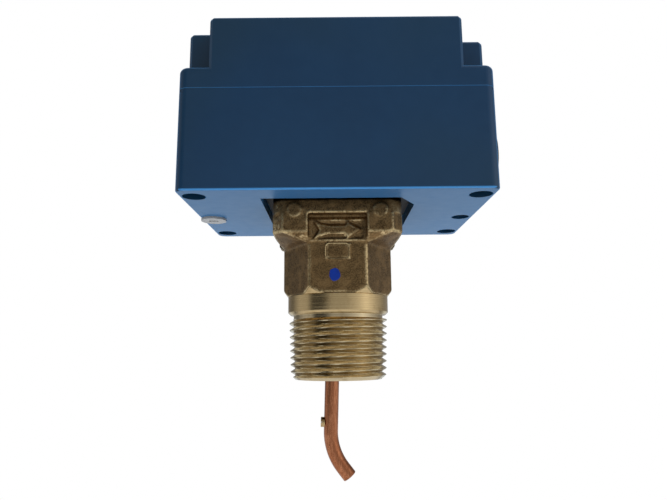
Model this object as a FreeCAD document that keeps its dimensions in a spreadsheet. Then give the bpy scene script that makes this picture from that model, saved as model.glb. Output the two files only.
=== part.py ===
import FreeCAD, Part
import Sketcher
import math
import os
import re

# Paddle flow switch, in millimetres.
# Origin: centre of the lower end face of the pipe thread.  +Z runs up the thread axis
# to the switch housing, +X is the direction of flow, and -Y is the front.

SIZES = {
    # pipe thread R 1 (taper, 11 threads to the inch)
    "thread_radius": 16.62, "thread_gauge": 10.4, "thread_pitch": 2.309,
    "thread_depth": 1.48, "thread_taper": 1.79, "thread_length": 21.4,
    "thread_chamfer": 1.4, "thread_lead": 1.0, "relief_length": 1.2, "relief_radius": 15.4,
    "groove_flare": 0.2, "groove_share": 0.48,
    # brass body
    "bore_radius": 12.0, "collar_radius": 17.3, "collar_length": 6.3, "collar_bevel": 0.9,
    "hexagon_flats": 33.0, "hexagon_length": 25.9, "hexagon_bevel": 2.4,
    "flange_width": 42.8, "flange_depth": 39.0, "flange_thickness": 6.6, "flange_corner": 5.0,
    "lobe_width": 11.8, "lobe_drop": 6.2, "lobe_corner": 3.4, "lobe_foot": 4.6,
    "lobe_foot_angle": 38.0, "body_screw_inset_x": 6.8, "body_screw_inset_y": 6.5,
    "tapped_depth": 9.0, "seal_seat_radius": 15.0, "seal_seat_depth": 4.2,
    # raised marks on the casting
    "panel_width": 18.4, "panel_height": 7.4, "panel_rim": 0.7, "panel_rise": 0.5,
    "panel_level": 48.4, "arrow_length": 15.6, "arrow_head": 5.6, "arrow_shaft": 2.9,
    "arrow_head_length": 4.8, "arrow_notch": 1.9, "arrow_rise": 0.9, "tablet_width": 8.0,
    "tablet_height": 5.0, "tablet_level": 41.4, "tablet_rise": 0.35, "mark_root": 0.5,
    "pip_radius": 2.4, "pip_rise": 0.4, "pip_left": 14.0, "pip_right": 14.0, "pip_level": 54.6,
    # housing
    "case_width": 98.5, "case_depth": 69.6, "base_height": 32.7, "wall": 2.8,
    "case_floor": 3.0, "case_corner": 3.0, "case_edge": 1.8, "base_edge": 0.6,
    "column_width": 11.0, "column_depth": 12.4, "recess_depth": 4.0,
    "recess_margin_left": 3.0, "recess_margin_right": 4.1, "recess_margin_y": 5.3,
    "recess_cut_x": 5.2, "recess_cut_y": 9.0, "tray_margin": 3.1, "tray_rise": 3.8,
    "lever_hole": 9.0, "foot_hole_radius": 3.7, "foot_hole_inset_x": 4.6,
    "foot_hole_inset_y": 7.2, "foot_hole_depth": 8.0, "side_hole_radius": 3.15,
    "side_hole_inset": 4.4, "side_hole_y": 2.6,
    "side_hole_depth": 4.4, "side_boss_radius": 5.6, "side_boss_rise": 2.6,
    "earth_gap_x": 1.9, "earth_gap_y": 6.0, "earth_boss_radius": 5.0, "earth_boss_rise": 4.0,
    "gasket_groove": 1.2, "gasket_inset": 0.8, "gasket_height": 1.0,
    # cover
    "band_height": 7.4, "cover_rise": 16.9, "pocket_width": 9.4, "pocket_depth": 9.6,
    "arm_setback": 0.7, "arm_drop": 3.4, "cover_edge": 1.6, "cover_bevel": 1.0,
    "cover_lip": 0.3,
    # housing fasteners
    "cover_screw_radius": 2.0, "cover_screw_head": 3.1, "cover_screw_head_height": 2.5,
    "cover_screw_length": 15.5, "cover_screw_spare": 2.0, "screw_slack": 0.06, "hole_slack": 0.2,
    "body_screw_radius": 2.0, "body_screw_head": 3.5, "body_screw_head_height": 2.6,
    "body_screw_length": 12.6, "earth_screw_length": 6.0, "earth_screw_head": 3.6,
    "earth_clamp_size": 9.0, "earth_clamp_thickness": 1.0, "slot_width": 0.9,
    "slot_depth": 1.2, "cross_share": 1.3, "cut_margin": 1.0,
    # flange gasket, seal and its clamp ring
    "flange_gasket_thickness": 0.8, "gasket_margin": 0.4, "seal_thickness": 1.2,
    "seal_gap": 1.1, "seal_roll": 1.6, "clamp_ring_bore": 10.5,
    # cable entry
    "entry_y": -5.0, "entry_gap": 0.2, "entry_thread_radius": 10.0, "entry_bore": 7.0,
    "entry_flange_radius": 12.4, "entry_flange_thickness": 3.9, "entry_seal_thickness": 1.0,
    "locknut_flats": 24.0, "locknut_thickness": 4.5, "entry_tail": 1.0,
    # grey plug under the housing
    "plug_head_radius": 4.5, "plug_head_height": 0.8, "plug_stem_length": 4.0,
    "plug_slot_length": 3.2, "plug_slot_width": 1.6, "plug_slot_depth": 0.5,
    # mounting plate and pivot
    "plate_thickness": 2.0, "plate_gap": 2.5, "plate_reach_y": 18.5, "plate_hole": 6.5,
    "ear_gap": 17.0, "ear_width": 11.0, "ear_top": 4.2, "pivot_gap": 1.1,
    "pin_radius": 2.0, "pin_overhang": 2.2, "pin_slack": 0.05, "clip_groove": 0.5,
    "clip_thickness": 0.8, "clip_radius": 3.5, "clip_gap": 2.4,
    # swinging arm
    "arm_lean": 1.8, "block_width": 9.0, "block_head": 5.5, "block_foot": 4.6, "side_play": 0.3,
    "rod_radius": 2.5, "spigot_radius": 2.0, "spigot_length": 2.2, "tube_radius": 2.4,
    "tube_wall": 0.7, "tube_top": 51.5, "bend_start": 88.5, "bend_radius": 18.0,
    "bend_angle": 40.0, "tube_tip": 3.8, "rod_end": 87.0, "arm_screw_level": 85.8,
    "arm_screw_head": 1.65, "arm_screw_rise": 1.05, "arm_screw_seat": 0.3,
    "arm_screw_shank": 0.8, "arm_screw_length": 3.2,
    "lever_thickness": 1.5, "lever_width": 11.0, "lever_rise": 22.0,
    "lever_screw_y": 3.2, "lever_screw_radius": 1.5, "lever_screw_head": 2.4,
    "lever_screw_head_height": 1.7, "lever_screw_length": 4.4,
    "button_radius": 3.0, "button_height": 1.6,
    # snap switch and its bracket
    "switch_level": 18.0, "switch_front": 12.0, "switch_back_gap": 0.5, "switch_end_gap": 7.4,
    "switch_thickness": 17.5, "switch_edge": 1.0, "plunger_radius": 2.0,
    "plunger_cap_radius": 3.2, "plunger_cap": 1.5, "plunger_stem": 9.8,
    "plunger_gap": 0.3, "plunger_travel_room": 2.6, "switch_screw_x": 24.0,
    "switch_screw_y": 12.7, "switch_screw_length": 21.0, "terminal_gap": 1.4,
    "terminal_width": 7.0, "terminal_length": 8.0, "terminal_thickness": 1.0,
    "terminal_screw_head": 2.9, "terminal_screw_height": 2.3,
    "bracket_thickness": 1.5, "bracket_inset": 3.5, "bracket_foot": 9.5,
    "bracket_width": 16.0, "bracket_screw_inset": 5.8, "bracket_screw_y": 4.6,
    "small_screw_radius": 1.5, "small_screw_head": 2.6, "small_screw_head_height": 1.9,
    # range adjustment
    "frame_inset": 0.5, "frame_length": 12.0, "frame_inner_width": 14.0, "frame_thickness": 1.5,
    "frame_height": 34.7, "frame_screw_pitch": 6.0, "range_screw_radius": 2.5,
    "range_head_radius": 4.5, "range_head_height": 3.0, "range_collar_radius": 4.0,
    "range_collar_height": 1.0, "range_end_play": 0.3, "range_screw_drop": 12.0,
    "seat_thickness": 2.5, "seat_length": 10.0, "seat_drop": 3.7, "spring_wire": 0.45,
    "spring_radius": 4.15, "spring_turns": 7.0, "spring_clearance": 0.35,
}

# Levels above the origin, bottom to top
COLLAR_TOP = "(thread_length + collar_length)"
FLANGE_BOTTOM = "(%s + hexagon_length)" % COLLAR_TOP
FLANGE_TOP = "(%s + flange_thickness)" % FLANGE_BOTTOM
LOBE_BOTTOM = "(%s - lobe_drop)" % FLANGE_BOTTOM
RECESS_TOP = "(%s + flange_gasket_thickness)" % FLANGE_TOP
CASE_BOTTOM = "(%s - recess_depth)" % RECESS_TOP
CASE_FLOOR = "(%s + case_floor)" % CASE_BOTTOM
TRAY_TOP = "(%s + tray_rise)" % CASE_FLOOR
RIM = "(%s + base_height)" % CASE_BOTTOM
POCKET_FLOOR = "(%s + band_height)" % RIM
COVER_TOP = "(%s + cover_rise)" % POCKET_FLOOR
PLATE_TOP = "(%s + plate_thickness)" % TRAY_TOP
PIVOT = "(%s + block_foot + pivot_gap)" % PLATE_TOP
SWITCH_LEVEL = "(%s + switch_level)" % PIVOT
SWITCH_BOTTOM = "(%s - switch_thickness / 2)" % SWITCH_LEVEL
SWITCH_TOP = "(%s + switch_thickness / 2)" % SWITCH_LEVEL
FRAME_TOP = "(%s + frame_height)" % PLATE_TOP
SEAT_TOP = "(%s - frame_thickness - seat_drop)" % FRAME_TOP
SEAT_BOTTOM = "(%s - seat_thickness)" % SEAT_TOP
ENTRY_LEVEL = "(%s + side_boss_rise + locknut_flats / 2 + entry_gap)" % CASE_FLOOR

# Distances from the centre of the housing
HALF_WIDTH = "(case_width / 2)"
HALF_DEPTH = "(case_depth / 2)"
POCKET_X = "(case_width / 2 - pocket_width)"
POCKET_Y = "(case_depth / 2 - pocket_depth)"
COLUMN_X = "(case_width / 2 - column_width)"
COLUMN_Y = "(case_depth / 2 - column_depth)"
COVER_SCREW_X = "(case_width / 2 - pocket_width / 2)"
COVER_SCREW_Y = "(case_depth / 2 - pocket_depth / 2)"
HEX_FRONT = "(hexagon_flats / 2)"
BODY_SCREW_X = "(flange_width / 2 - body_screw_inset_x)"
BODY_SCREW_Y = "(flange_depth / 2 - body_screw_inset_y)"
RECESS_LEFT = "(flange_width / 2 + recess_margin_left)"
RECESS_RIGHT = "(flange_width / 2 + recess_margin_right)"
RECESS_Y = "(flange_depth / 2 + recess_margin_y)"
TRAY_REACH = "(%s + tray_margin)" % RECESS_RIGHT
FOOT_HOLE_X = "(case_width / 2 - foot_hole_inset_x)"
FOOT_HOLE_Y = "(case_depth / 2 - foot_hole_inset_y)"
SIDE_HOLE_X = "(case_width / 2 - side_hole_inset)"
EARTH_X = "(%s - earth_gap_x - earth_clamp_size / 2)" % COLUMN_X
EARTH_Y = "(case_depth / 2 - wall - earth_gap_y - earth_clamp_size / 2)"
PLATE_X = "(%s - earth_clamp_size / 2 - plate_gap)" % EARTH_X
RANGE_X = "(%s - frame_inset - frame_length / 2)" % PLATE_X
LEVER_REACH = "(%s + frame_length / 2)" % RANGE_X
BRACKET_X = "(%s - bracket_inset)" % PLATE_X
BRACKET_SCREW_X = "(%s - bracket_screw_inset)" % BRACKET_X
SWITCH_BACK = "(%s - wall - switch_back_gap)" % POCKET_X
SWITCH_END = "(case_depth / 2 - wall - switch_end_gap)"
TERMINAL_PITCH = "(%s - terminal_width / 2 - terminal_gap)" % COLUMN_Y

CORNERS = [(-1, -1), (1, -1), (1, 1), (-1, 1)]
AXIS_TURN = {
    "X": FreeCAD.Rotation(FreeCAD.Vector(0, 1, 0), 90),
    "Y": FreeCAD.Rotation(FreeCAD.Vector(1, 0, 0), -90),
    "Z": FreeCAD.Rotation(),
}

doc = FreeCAD.newDocument("paddle_flow_switch")
sheet = doc.addObject("Spreadsheet::Sheet", "sizes")
for row, (alias, value) in enumerate(SIZES.items(), 1):
    sheet.set("A%d" % row, alias)
    sheet.set("B%d" % row, str(value))
    sheet.setAlias("B%d" % row, alias)
doc.recompute()


# ---------------------------------------------------------------- binding helpers

def cells(expression):
    """Point each size named in an expression at its cell of the sheet."""
    def lookup(match):
        word = match.group(0)
        return "sizes." + word if word in SIZES else word
    return re.sub(r"[a-z_]+", lookup, str(expression))


def bind(target, **expressions):
    """Drive properties of an object from the sheet: Radius="pin_radius"."""
    for name, expression in expressions.items():
        target.setExpression(name, cells(expression))


def place(target, x="0", y="0", z="0"):
    for axis, expression in zip("xyz", (x, y, z)):
        target.setExpression("Placement.Base." + axis, cells(expression))


def unique(name):
    """A free internal name for a construction object."""
    count = 1
    while doc.getObject("%s_%d" % (name, count)):
        count += 1
    return "%s_%d" % (name, count)


# ---------------------------------------------------------------- Part primitives

def box(name, length, width, height, x, y, z):
    """A box centred on x and y that stands on z."""
    solid = doc.addObject("Part::Box", unique(name))
    bind(solid, Length=length, Width=width, Height=height)
    place(solid, "(%s) - (%s) / 2" % (x, length), "(%s) - (%s) / 2" % (y, width), z)
    return solid


def cylinder(name, radius, height, x="0", y="0", z="0", axis="Z"):
    solid = doc.addObject("Part::Cylinder", unique(name))
    bind(solid, Radius=radius, Height=height)
    solid.Placement.Rotation = AXIS_TURN[axis]
    place(solid, x, y, z)
    return solid


def hexagon(name, flats, height, x, y, z):
    """A hexagonal prism along +X with a flat underneath."""
    solid = doc.addObject("Part::Prism", unique(name))
    solid.Polygon = 6
    bind(solid, Circumradius="(%s) / 2 / cos(30deg)" % flats, Height=height)
    turn = FreeCAD.Rotation(FreeCAD.Vector(0, 0, 1), 90)
    solid.Placement.Rotation = AXIS_TURN["X"].multiply(turn)
    place(solid, x, y, z)
    return solid


def fuse(name, *solids):
    if len(solids) == 1:
        return solids[0]
    result = doc.addObject("Part::MultiFuse", unique(name))
    result.Shapes = list(solids)
    return result


def cut(name, base, *tools):
    result = doc.addObject("Part::Cut", unique(name))
    result.Base = base
    result.Tool = fuse(name + "_tools", *tools)
    return result


def screw(name, head, head_height, shank, length, x, y, seat):
    """A cross-slotted screw that points down, with its head standing on seat."""
    top = "(%s) + (%s)" % (seat, head_height)
    solid = fuse(
        name + "_solid",
        cylinder(name + "_head", head, head_height, x, y, seat),
        cylinder(name + "_shank", shank, length, x, y, "(%s) - (%s)" % (seat, length)),
    )
    reach = "(%s) * cross_share" % head
    level = "(%s) - slot_depth" % top
    return cut(
        name, solid,
        box(name + "_slot", reach, "slot_width", "slot_depth", x, y, level),
        box(name + "_slot", "slot_width", reach, "slot_depth", x, y, level),
    )


# ---------------------------------------------------------------- PartDesign helpers

def new_body(name):
    return doc.addObject("PartDesign::Body", name + "_body")


def datum(body, role):
    for feature in body.Origin.OriginFeatures:
        if feature.Role == role:
            return feature
    raise ValueError(role)


def new_sketch(body, plane, offset):
    sketch = body.newObject("Sketcher::SketchObject", unique(body.Name + "_sketch"))
    sketch.AttachmentSupport = [(datum(body, plane), "")]
    sketch.MapMode = "FlatFace"
    sketch.setExpression("AttachmentOffset.Base.z", cells(offset))
    return sketch


def fix_distance(sketch, kind, geometry, vertex, expression, value):
    """Bind one distance of a vertex from the sketch origin; value is where it starts."""
    index = sketch.addConstraint(Sketcher.Constraint(kind, -1, 1, geometry, vertex, value))
    sketch.setExpression("Constraints[%d]" % index, cells(expression))


def fix_point(sketch, geometry, vertex, x, y, start):
    fix_distance(sketch, "DistanceX", geometry, vertex, x, start[0])
    fix_distance(sketch, "DistanceY", geometry, vertex, y, start[1])


def outline(body, plane, points, offset="0"):
    """A closed polygon whose corners are pairs of expressions."""
    sketch = new_sketch(body, plane, offset)
    count = len(points)
    seeds = [FreeCAD.Vector(9 * math.cos(2 * math.pi * (i + 0.1) / count),
                            9 * math.sin(2 * math.pi * (i + 0.1) / count), 0)
             for i in range(count)]
    for i in range(count):
        sketch.addGeometry(Part.LineSegment(seeds[i], seeds[(i + 1) % count]))
    for i in range(count):
        sketch.addConstraint(Sketcher.Constraint("Coincident", i, 2, (i + 1) % count, 1))
    for i, (x, y) in enumerate(points):
        fix_point(sketch, i, 1, x, y, seeds[i])
    return sketch


def rectangle(body, plane, x0, x1, y0, y1, offset="0"):
    return outline(body, plane, [(x0, y0), (x1, y0), (x1, y1), (x0, y1)], offset)


def circles(body, plane, centres, radius, offset="0"):
    """Equal circles, one around each pair of expressions."""
    sketch = new_sketch(body, plane, offset)
    for index, (x, y) in enumerate(centres):
        centre = FreeCAD.Vector(4 * index + 1, 1, 0)
        sketch.addGeometry(Part.Circle(centre, FreeCAD.Vector(0, 0, 1), 1.0))
        fix_point(sketch, index, 3, x, y, centre)
        size = sketch.addConstraint(Sketcher.Constraint("Radius", index, 1.0))
        sketch.setExpression("Constraints[%d]" % size, cells(radius))
    return sketch


def extrude(body, kind, sketch, length, reverse, symmetric, taper):
    feature = body.newObject("PartDesign::" + kind, unique(body.Name + "_" + kind.lower()))
    feature.Profile = sketch
    feature.Reversed = reverse
    feature.SideType = "Symmetric" if symmetric else "One side"
    bind(feature, Length=length)
    if taper:
        bind(feature, TaperAngle=taper)
    return feature


def pad(body, sketch, length, reverse=False, symmetric=False, taper=None):
    return extrude(body, "Pad", sketch, length, reverse, symmetric, taper)


def pocket(body, sketch, length, reverse=False, symmetric=False):
    return extrude(body, "Pocket", sketch, length, reverse, symmetric, None)


def revolve(body, kind, sketch):
    feature = body.newObject("PartDesign::" + kind, unique(body.Name + "_" + kind.lower()))
    feature.Profile = sketch
    feature.ReferenceAxis = (datum(body, "Z_Axis"), [""])
    feature.Angle = 360
    return feature


def round_edges(body, radius, wanted, kind="Fillet"):
    """Fillet or chamfer the edges of the body that wanted(edge) picks."""
    doc.recompute()
    base = body.Tip
    names = ["Edge%d" % number for number, edge in enumerate(base.Shape.Edges, 1)
             if wanted(edge)]
    if not names:
        raise ValueError("no edge to round on " + body.Name)
    feature = body.newObject("PartDesign::" + kind, unique(body.Name + "_" + kind.lower()))
    feature.Base = (base, names)
    bind(feature, **{"Radius" if kind == "Fillet" else "Size": radius})
    return feature


def number(expression):
    """The present value of an expression, for picking edges."""
    probe = cylinder("probe", "1", "1", z=expression)
    doc.recompute()
    level = probe.Placement.Base.z
    doc.removeObject(probe.Name)
    return level


def is_upright(edge):
    box_ = edge.BoundBox
    return box_.XLength < 1e-4 and box_.YLength < 1e-4 and box_.ZLength > 0.5


def at_level(edge, level):
    box_ = edge.BoundBox
    return abs(box_.ZMin - level) < 1e-4 and abs(box_.ZMax - level) < 1e-4


def near(value, target):
    return abs(abs(value) - target) < 0.05


# ---------------------------------------------------------------- brass body

def turned_profile():
    """Half section of the thread blank and collar, out from the bore."""
    slope = "tan(thread_taper * 1deg)"
    end_radius = "thread_radius - thread_gauge * %s" % slope
    return [
        ("bore_radius", "0"),
        ("%s - thread_chamfer" % end_radius, "0"),
        ("%s + thread_chamfer * %s" % (end_radius, slope), "thread_chamfer"),
        ("thread_radius + (thread_length - thread_gauge) * %s" % slope, "thread_length"),
        ("collar_radius - collar_bevel", "thread_length"),
        ("collar_radius", "thread_length + collar_bevel"),
        ("collar_radius", COLLAR_TOP),
        ("bore_radius", COLLAR_TOP),
    ]


def brass_body():
    body = new_body("brass_body")
    revolve(body, "Revolution", outline(body, "XZ_Plane", turned_profile()))

    # Thread groove, from just below the end face up to a turned relief
    slope = "tan(thread_taper * 1deg)"
    outer = "(thread_radius - (thread_gauge + thread_lead) * %s)" % slope
    groove = outline(body, "XZ_Plane", [
        ("%s - thread_depth" % outer, "-thread_lead"),
        ("%s + groove_flare" % outer, "-thread_lead + thread_pitch * groove_share"),
        ("%s + groove_flare" % outer, "-thread_lead - thread_pitch * groove_share")])
    doc.recompute()
    helix = body.newObject("PartDesign::SubtractiveHelix", "thread_groove")
    helix.Profile = groove
    helix.ReferenceAxis = (datum(body, "Z_Axis"), [""])
    helix.Mode = 0
    bind(helix, Pitch="thread_pitch", Angle="thread_taper", Height="thread_length")
    doc.recompute()
    revolve(body, "Groove", outline(body, "XZ_Plane", [
        ("relief_radius", "thread_length - relief_length / 2"),
        ("collar_radius + cut_margin", "thread_length - relief_length"),
        ("collar_radius + cut_margin", "thread_length"), ("relief_radius", "thread_length")]))

    # Hexagon with two corners on the X axis, its lower corners turned off
    half, corner = HEX_FRONT, "(hexagon_flats / 2 / cos(30deg))"
    hexagon_points = [
        (corner, "0"), ("%s / 2" % corner, half), ("-%s / 2" % corner, half),
        ("-%s" % corner, "0"), ("-%s / 2" % corner, "-" + half), ("%s / 2" % corner, "-" + half)]
    pad(body, outline(body, "XY_Plane", hexagon_points, COLLAR_TOP), "hexagon_length")
    outside = "(%s + cut_margin)" % corner
    revolve(body, "Groove", outline(body, "XZ_Plane", [
        ("collar_radius", COLLAR_TOP), (outside, COLLAR_TOP),
        (outside, "%s + hexagon_bevel * (%s - collar_radius) / (%s - collar_radius)"
         % (COLLAR_TOP, outside, corner))]))

    # Square flange, and a lobe for each screw that tapers into the hexagon
    pad(body, rectangle(body, "XY_Plane", "-flange_width / 2", "flange_width / 2",
                        "-flange_depth / 2", "flange_depth / 2", FLANGE_BOTTOM),
        "flange_thickness")
    flange_low, flange_high = number(FLANGE_BOTTOM), number(FLANGE_TOP)
    reach = number("flange_width / 2")
    round_edges(body, "flange_corner", lambda edge: (
        is_upright(edge) and near(edge.BoundBox.XMax, reach)
        and edge.BoundBox.ZMin > flange_low - 0.01 and edge.BoundBox.ZMax < flange_high + 0.01))
    for side_x, side_y in CORNERS:
        outer_x = "%d * flange_width / 2" % side_x
        inner_x = "%d * (flange_width / 2 - lobe_width)" % side_x
        outer_y = "%d * flange_depth / 2" % side_y
        inner_y = "%d * (flange_depth / 2 - lobe_width)" % side_y
        cut_x = "%d * (flange_width / 2 - lobe_corner)" % side_x
        cut_y = "%d * (flange_depth / 2 - lobe_corner)" % side_y
        lobe = [(inner_x, inner_y), (outer_x, inner_y), (outer_x, cut_y), (cut_x, outer_y),
                (inner_x, outer_y)]
        if side_x * side_y < 0:
            lobe.reverse()
        pad(body, outline(body, "XY_Plane", lobe, LOBE_BOTTOM), "lobe_drop")
        pad(body, outline(body, "XY_Plane", lobe, LOBE_BOTTOM), "lobe_foot", reverse=True,
            taper="-lobe_foot_angle")

    # Raised marks on the front: a framed arrow that points with the flow, a plain tablet
    # and two round pips
    face = HEX_FRONT
    low, high = "(panel_level - panel_height / 2)", "(panel_level + panel_height / 2)"
    pad(body, rectangle(body, "XZ_Plane", "-panel_width / 2", "panel_width / 2", low, high,
                        "%s - mark_root" % face), "panel_rise + mark_root")
    pocket(body, rectangle(body, "XZ_Plane", "-panel_width / 2 + panel_rim",
                           "panel_width / 2 - panel_rim", "%s + panel_rim" % low,
                           "%s - panel_rim" % high, "%s + panel_rise" % face), "panel_rise")
    tail, tip, neck = "-arrow_length / 2", "arrow_length / 2", "(arrow_length / 2 - arrow_head_length)"
    wide, slim = "arrow_head / 2", "arrow_shaft / 2"
    arrow = [
        (tip, "panel_level"), (neck, "panel_level + " + wide), (neck, "panel_level + " + slim),
        ("-" + neck, "panel_level + " + slim), (tail, "panel_level + " + wide),
        (tail + " + arrow_notch", "panel_level"), (tail, "panel_level - " + wide),
        ("-" + neck, "panel_level - " + slim), (neck, "panel_level - " + slim),
        (neck, "panel_level - " + wide)]
    pad(body, outline(body, "XZ_Plane", arrow, "%s - mark_root" % face), "arrow_rise + mark_root")
    pad(body, rectangle(body, "XZ_Plane", "-tablet_width / 2", "tablet_width / 2",
                        "tablet_level - tablet_height / 2", "tablet_level + tablet_height / 2",
                        "%s - mark_root" % face), "tablet_rise + mark_root")
    pad(body, circles(body, "XZ_Plane", [("-pip_left", "pip_level"), ("pip_right", "pip_level")],
                      "pip_radius", "flange_depth / 2 - mark_root"), "pip_rise + mark_root")

    # Bore, seal seat and the tapped holes for the flange screws
    pocket(body, circles(body, "XY_Plane", [("0", "0")], "bore_radius", FLANGE_TOP),
           "%s - %s + cut_margin" % (FLANGE_TOP, COLLAR_TOP))
    pocket(body, circles(body, "XY_Plane", [("0", "0")], "seal_seat_radius", FLANGE_TOP),
           "seal_seat_depth")
    pocket(body, circles(body, "XY_Plane", body_screw_centres(),
                         "body_screw_radius + screw_slack", FLANGE_TOP), "tapped_depth")
    return body


def body_screw_centres():
    return [("%d * %s" % (x, BODY_SCREW_X), "%d * %s" % (y, BODY_SCREW_Y)) for x, y in CORNERS]


def cover_screw_centres():
    return [("%d * %s" % (x, COVER_SCREW_X), "%d * %s" % (y, COVER_SCREW_Y))
            for x, y in CORNERS]


# ---------------------------------------------------------------- seal and gasket

def recess_outline(inset):
    """The recess under the housing, one corner cut off, drawn in by inset."""
    left, right = "-%s + %s" % (RECESS_LEFT, inset), "%s - %s" % (RECESS_RIGHT, inset)
    front, back = "-%s + %s" % (RECESS_Y, inset), "%s - %s" % (RECESS_Y, inset)
    return [(left, front), ("%s - recess_cut_x" % RECESS_RIGHT, front),
            (right, "-%s + recess_cut_y" % RECESS_Y), (right, back), (left, back)]


def flange_gasket():
    body = new_body("flange_gasket")
    pad(body, outline(body, "XY_Plane", recess_outline("gasket_margin"), FLANGE_TOP),
        "flange_gasket_thickness")
    pocket(body, circles(body, "XY_Plane", [("0", "0")], "lever_hole", FLANGE_TOP),
           "flange_gasket_thickness", reverse=True)
    pocket(body, circles(body, "XY_Plane", body_screw_centres(),
                         "body_screw_radius + hole_slack", FLANGE_TOP),
           "flange_gasket_thickness", reverse=True)
    return body


def seal_diaphragm():
    """A rubber disc with one rolled convolution around the rod."""
    body = new_body("seal_diaphragm")
    low = "%s - seal_seat_depth" % FLANGE_TOP
    inner, outer = "(rod_radius + seal_gap)", "(seal_seat_radius - screw_slack)"
    roll = "(%s + clamp_ring_bore) / 2" % inner
    revolve(body, "Revolution", outline(body, "XZ_Plane", [
        (inner, low), ("%s - seal_roll" % roll, low), (roll, "%s - seal_roll" % low),
        ("%s + seal_roll" % roll, low), (outer, low), (outer, "%s + seal_thickness" % low),
        ("%s + seal_roll" % roll, "%s + seal_thickness" % low),
        (roll, "%s + seal_thickness - seal_roll" % low),
        ("%s - seal_roll" % roll, "%s + seal_thickness" % low),
        (inner, "%s + seal_thickness" % low)]))
    return body


def clamp_ring():
    height = "seal_seat_depth - seal_thickness"
    level = "%s - %s" % (FLANGE_TOP, "(%s)" % height)
    return cut("clamp_ring",
               cylinder("ring", "seal_seat_radius - screw_slack", height, z=level),
               cylinder("ring_bore", "clamp_ring_bore", height, z=level))


# ---------------------------------------------------------------- housing

def corner_steps(reach_x, reach_y, step_x, step_y):
    """A rectangle with its four corners stepped in, counter-clockwise."""
    return [
        ("-" + step_x, "-" + reach_y), (step_x, "-" + reach_y), (step_x, "-" + step_y),
        (reach_x, "-" + step_y), (reach_x, step_y), (step_x, step_y), (step_x, reach_y),
        ("-" + step_x, reach_y), ("-" + step_x, step_y), ("-" + reach_x, step_y),
        ("-" + reach_x, "-" + step_y), ("-" + step_x, "-" + step_y)]


def case_block(body, level, height):
    """The outer block of the housing with its upright edges rounded."""
    pad(body, rectangle(body, "XY_Plane", "-" + HALF_WIDTH, HALF_WIDTH,
                        "-" + HALF_DEPTH, HALF_DEPTH, level), height)
    round_edges(body, "case_corner", is_upright)


def base_casing():
    body = new_body("base_casing")
    case_block(body, CASE_BOTTOM, "base_height")
    bottom = number(CASE_BOTTOM)
    round_edges(body, "base_edge", lambda edge: at_level(edge, bottom))

    inner_x, inner_y = "(%s - wall)" % HALF_WIDTH, "(%s - wall)" % HALF_DEPTH
    pocket(body, outline(body, "XY_Plane", corner_steps(inner_x, inner_y, COLUMN_X, COLUMN_Y),
                         RIM), "base_height - case_floor")
    pad(body, rectangle(body, "XY_Plane", "-" + TRAY_REACH, TRAY_REACH,
                        "-" + TRAY_REACH, TRAY_REACH, CASE_FLOOR), "tray_rise")
    pad(body, circles(body, "XY_Plane", [(EARTH_X, EARTH_Y)], "earth_boss_radius",
                      CASE_FLOOR), "earth_boss_rise")
    for side in ("-", ""):
        # A boss above each hole in the floor's short sides, square so that it meets the wall
        inner, outer = side + "(%s - side_boss_radius)" % SIDE_HOLE_X, side + inner_x
        pad(body, rectangle(body, "XY_Plane", inner, outer, "side_hole_y - side_boss_radius",
                            "side_hole_y + side_boss_radius", CASE_FLOOR), "side_boss_rise")

    pocket(body, outline(body, "XY_Plane", recess_outline("0"), CASE_BOTTOM), "recess_depth",
           reverse=True)
    through = "case_floor + tray_rise"
    pocket(body, circles(body, "XY_Plane", [("0", "0")], "lever_hole", CASE_BOTTOM), through,
           reverse=True)
    pocket(body, circles(body, "XY_Plane", body_screw_centres(),
                         "body_screw_radius + hole_slack", CASE_BOTTOM), through, reverse=True)
    foot_holes = [("%d * %s" % (x, FOOT_HOLE_X), "%d * %s" % (y, FOOT_HOLE_Y)) for x, y in CORNERS]
    pocket(body, circles(body, "XY_Plane", foot_holes, "foot_hole_radius", CASE_BOTTOM),
           "foot_hole_depth", reverse=True)
    side_holes = [("-" + SIDE_HOLE_X, "side_hole_y"), (SIDE_HOLE_X, "side_hole_y")]
    pocket(body, circles(body, "XY_Plane", side_holes, "side_hole_radius", CASE_BOTTOM),
           "side_hole_depth", reverse=True)

    pocket(body, circles(body, "XY_Plane", cover_screw_centres(),
                         "cover_screw_radius + screw_slack", RIM),
           "cover_screw_length + cover_screw_head_height - band_height + cover_screw_spare")
    pocket(body, circles(body, "XY_Plane", [(EARTH_X, EARTH_Y)],
                         "body_screw_radius + screw_slack", "%s + earth_boss_rise" % CASE_FLOOR),
           "earth_screw_length")
    pocket(body, rim_groove(body), "gasket_height")
    pocket(body, circles(body, "YZ_Plane", [("entry_y", ENTRY_LEVEL)],
                         "entry_thread_radius + hole_slack", "%s - wall - cut_margin" % HALF_WIDTH),
           "wall + 2 * cut_margin", reverse=True)
    return body


def groove_rectangles(inset):
    x, y = "(%s - (%s))" % (HALF_WIDTH, inset), "(%s - (%s))" % (HALF_DEPTH, inset)
    return [("-" + x, "-" + y), (x, "-" + y), (x, y), ("-" + x, y)]


def rim_groove(body):
    """Two nested rectangles that bound the gasket groove in the rim."""
    sketch = outline(body, "XY_Plane", groove_rectangles("gasket_inset"), RIM)
    inner = groove_rectangles("gasket_inset + gasket_groove")
    seeds = [FreeCAD.Vector(x, y, 0) for x, y in ((-2, -2), (2, -2), (2, 2), (-2, 2))]
    for i in range(4):
        sketch.addGeometry(Part.LineSegment(seeds[i], seeds[(i + 1) % 4]))
    for i in range(4):
        sketch.addConstraint(Sketcher.Constraint("Coincident", 4 + i, 2, 4 + (i + 1) % 4, 1))
    for i, (x, y) in enumerate(inner):
        fix_point(sketch, 4 + i, 1, x, y, seeds[i])
    return sketch


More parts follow.
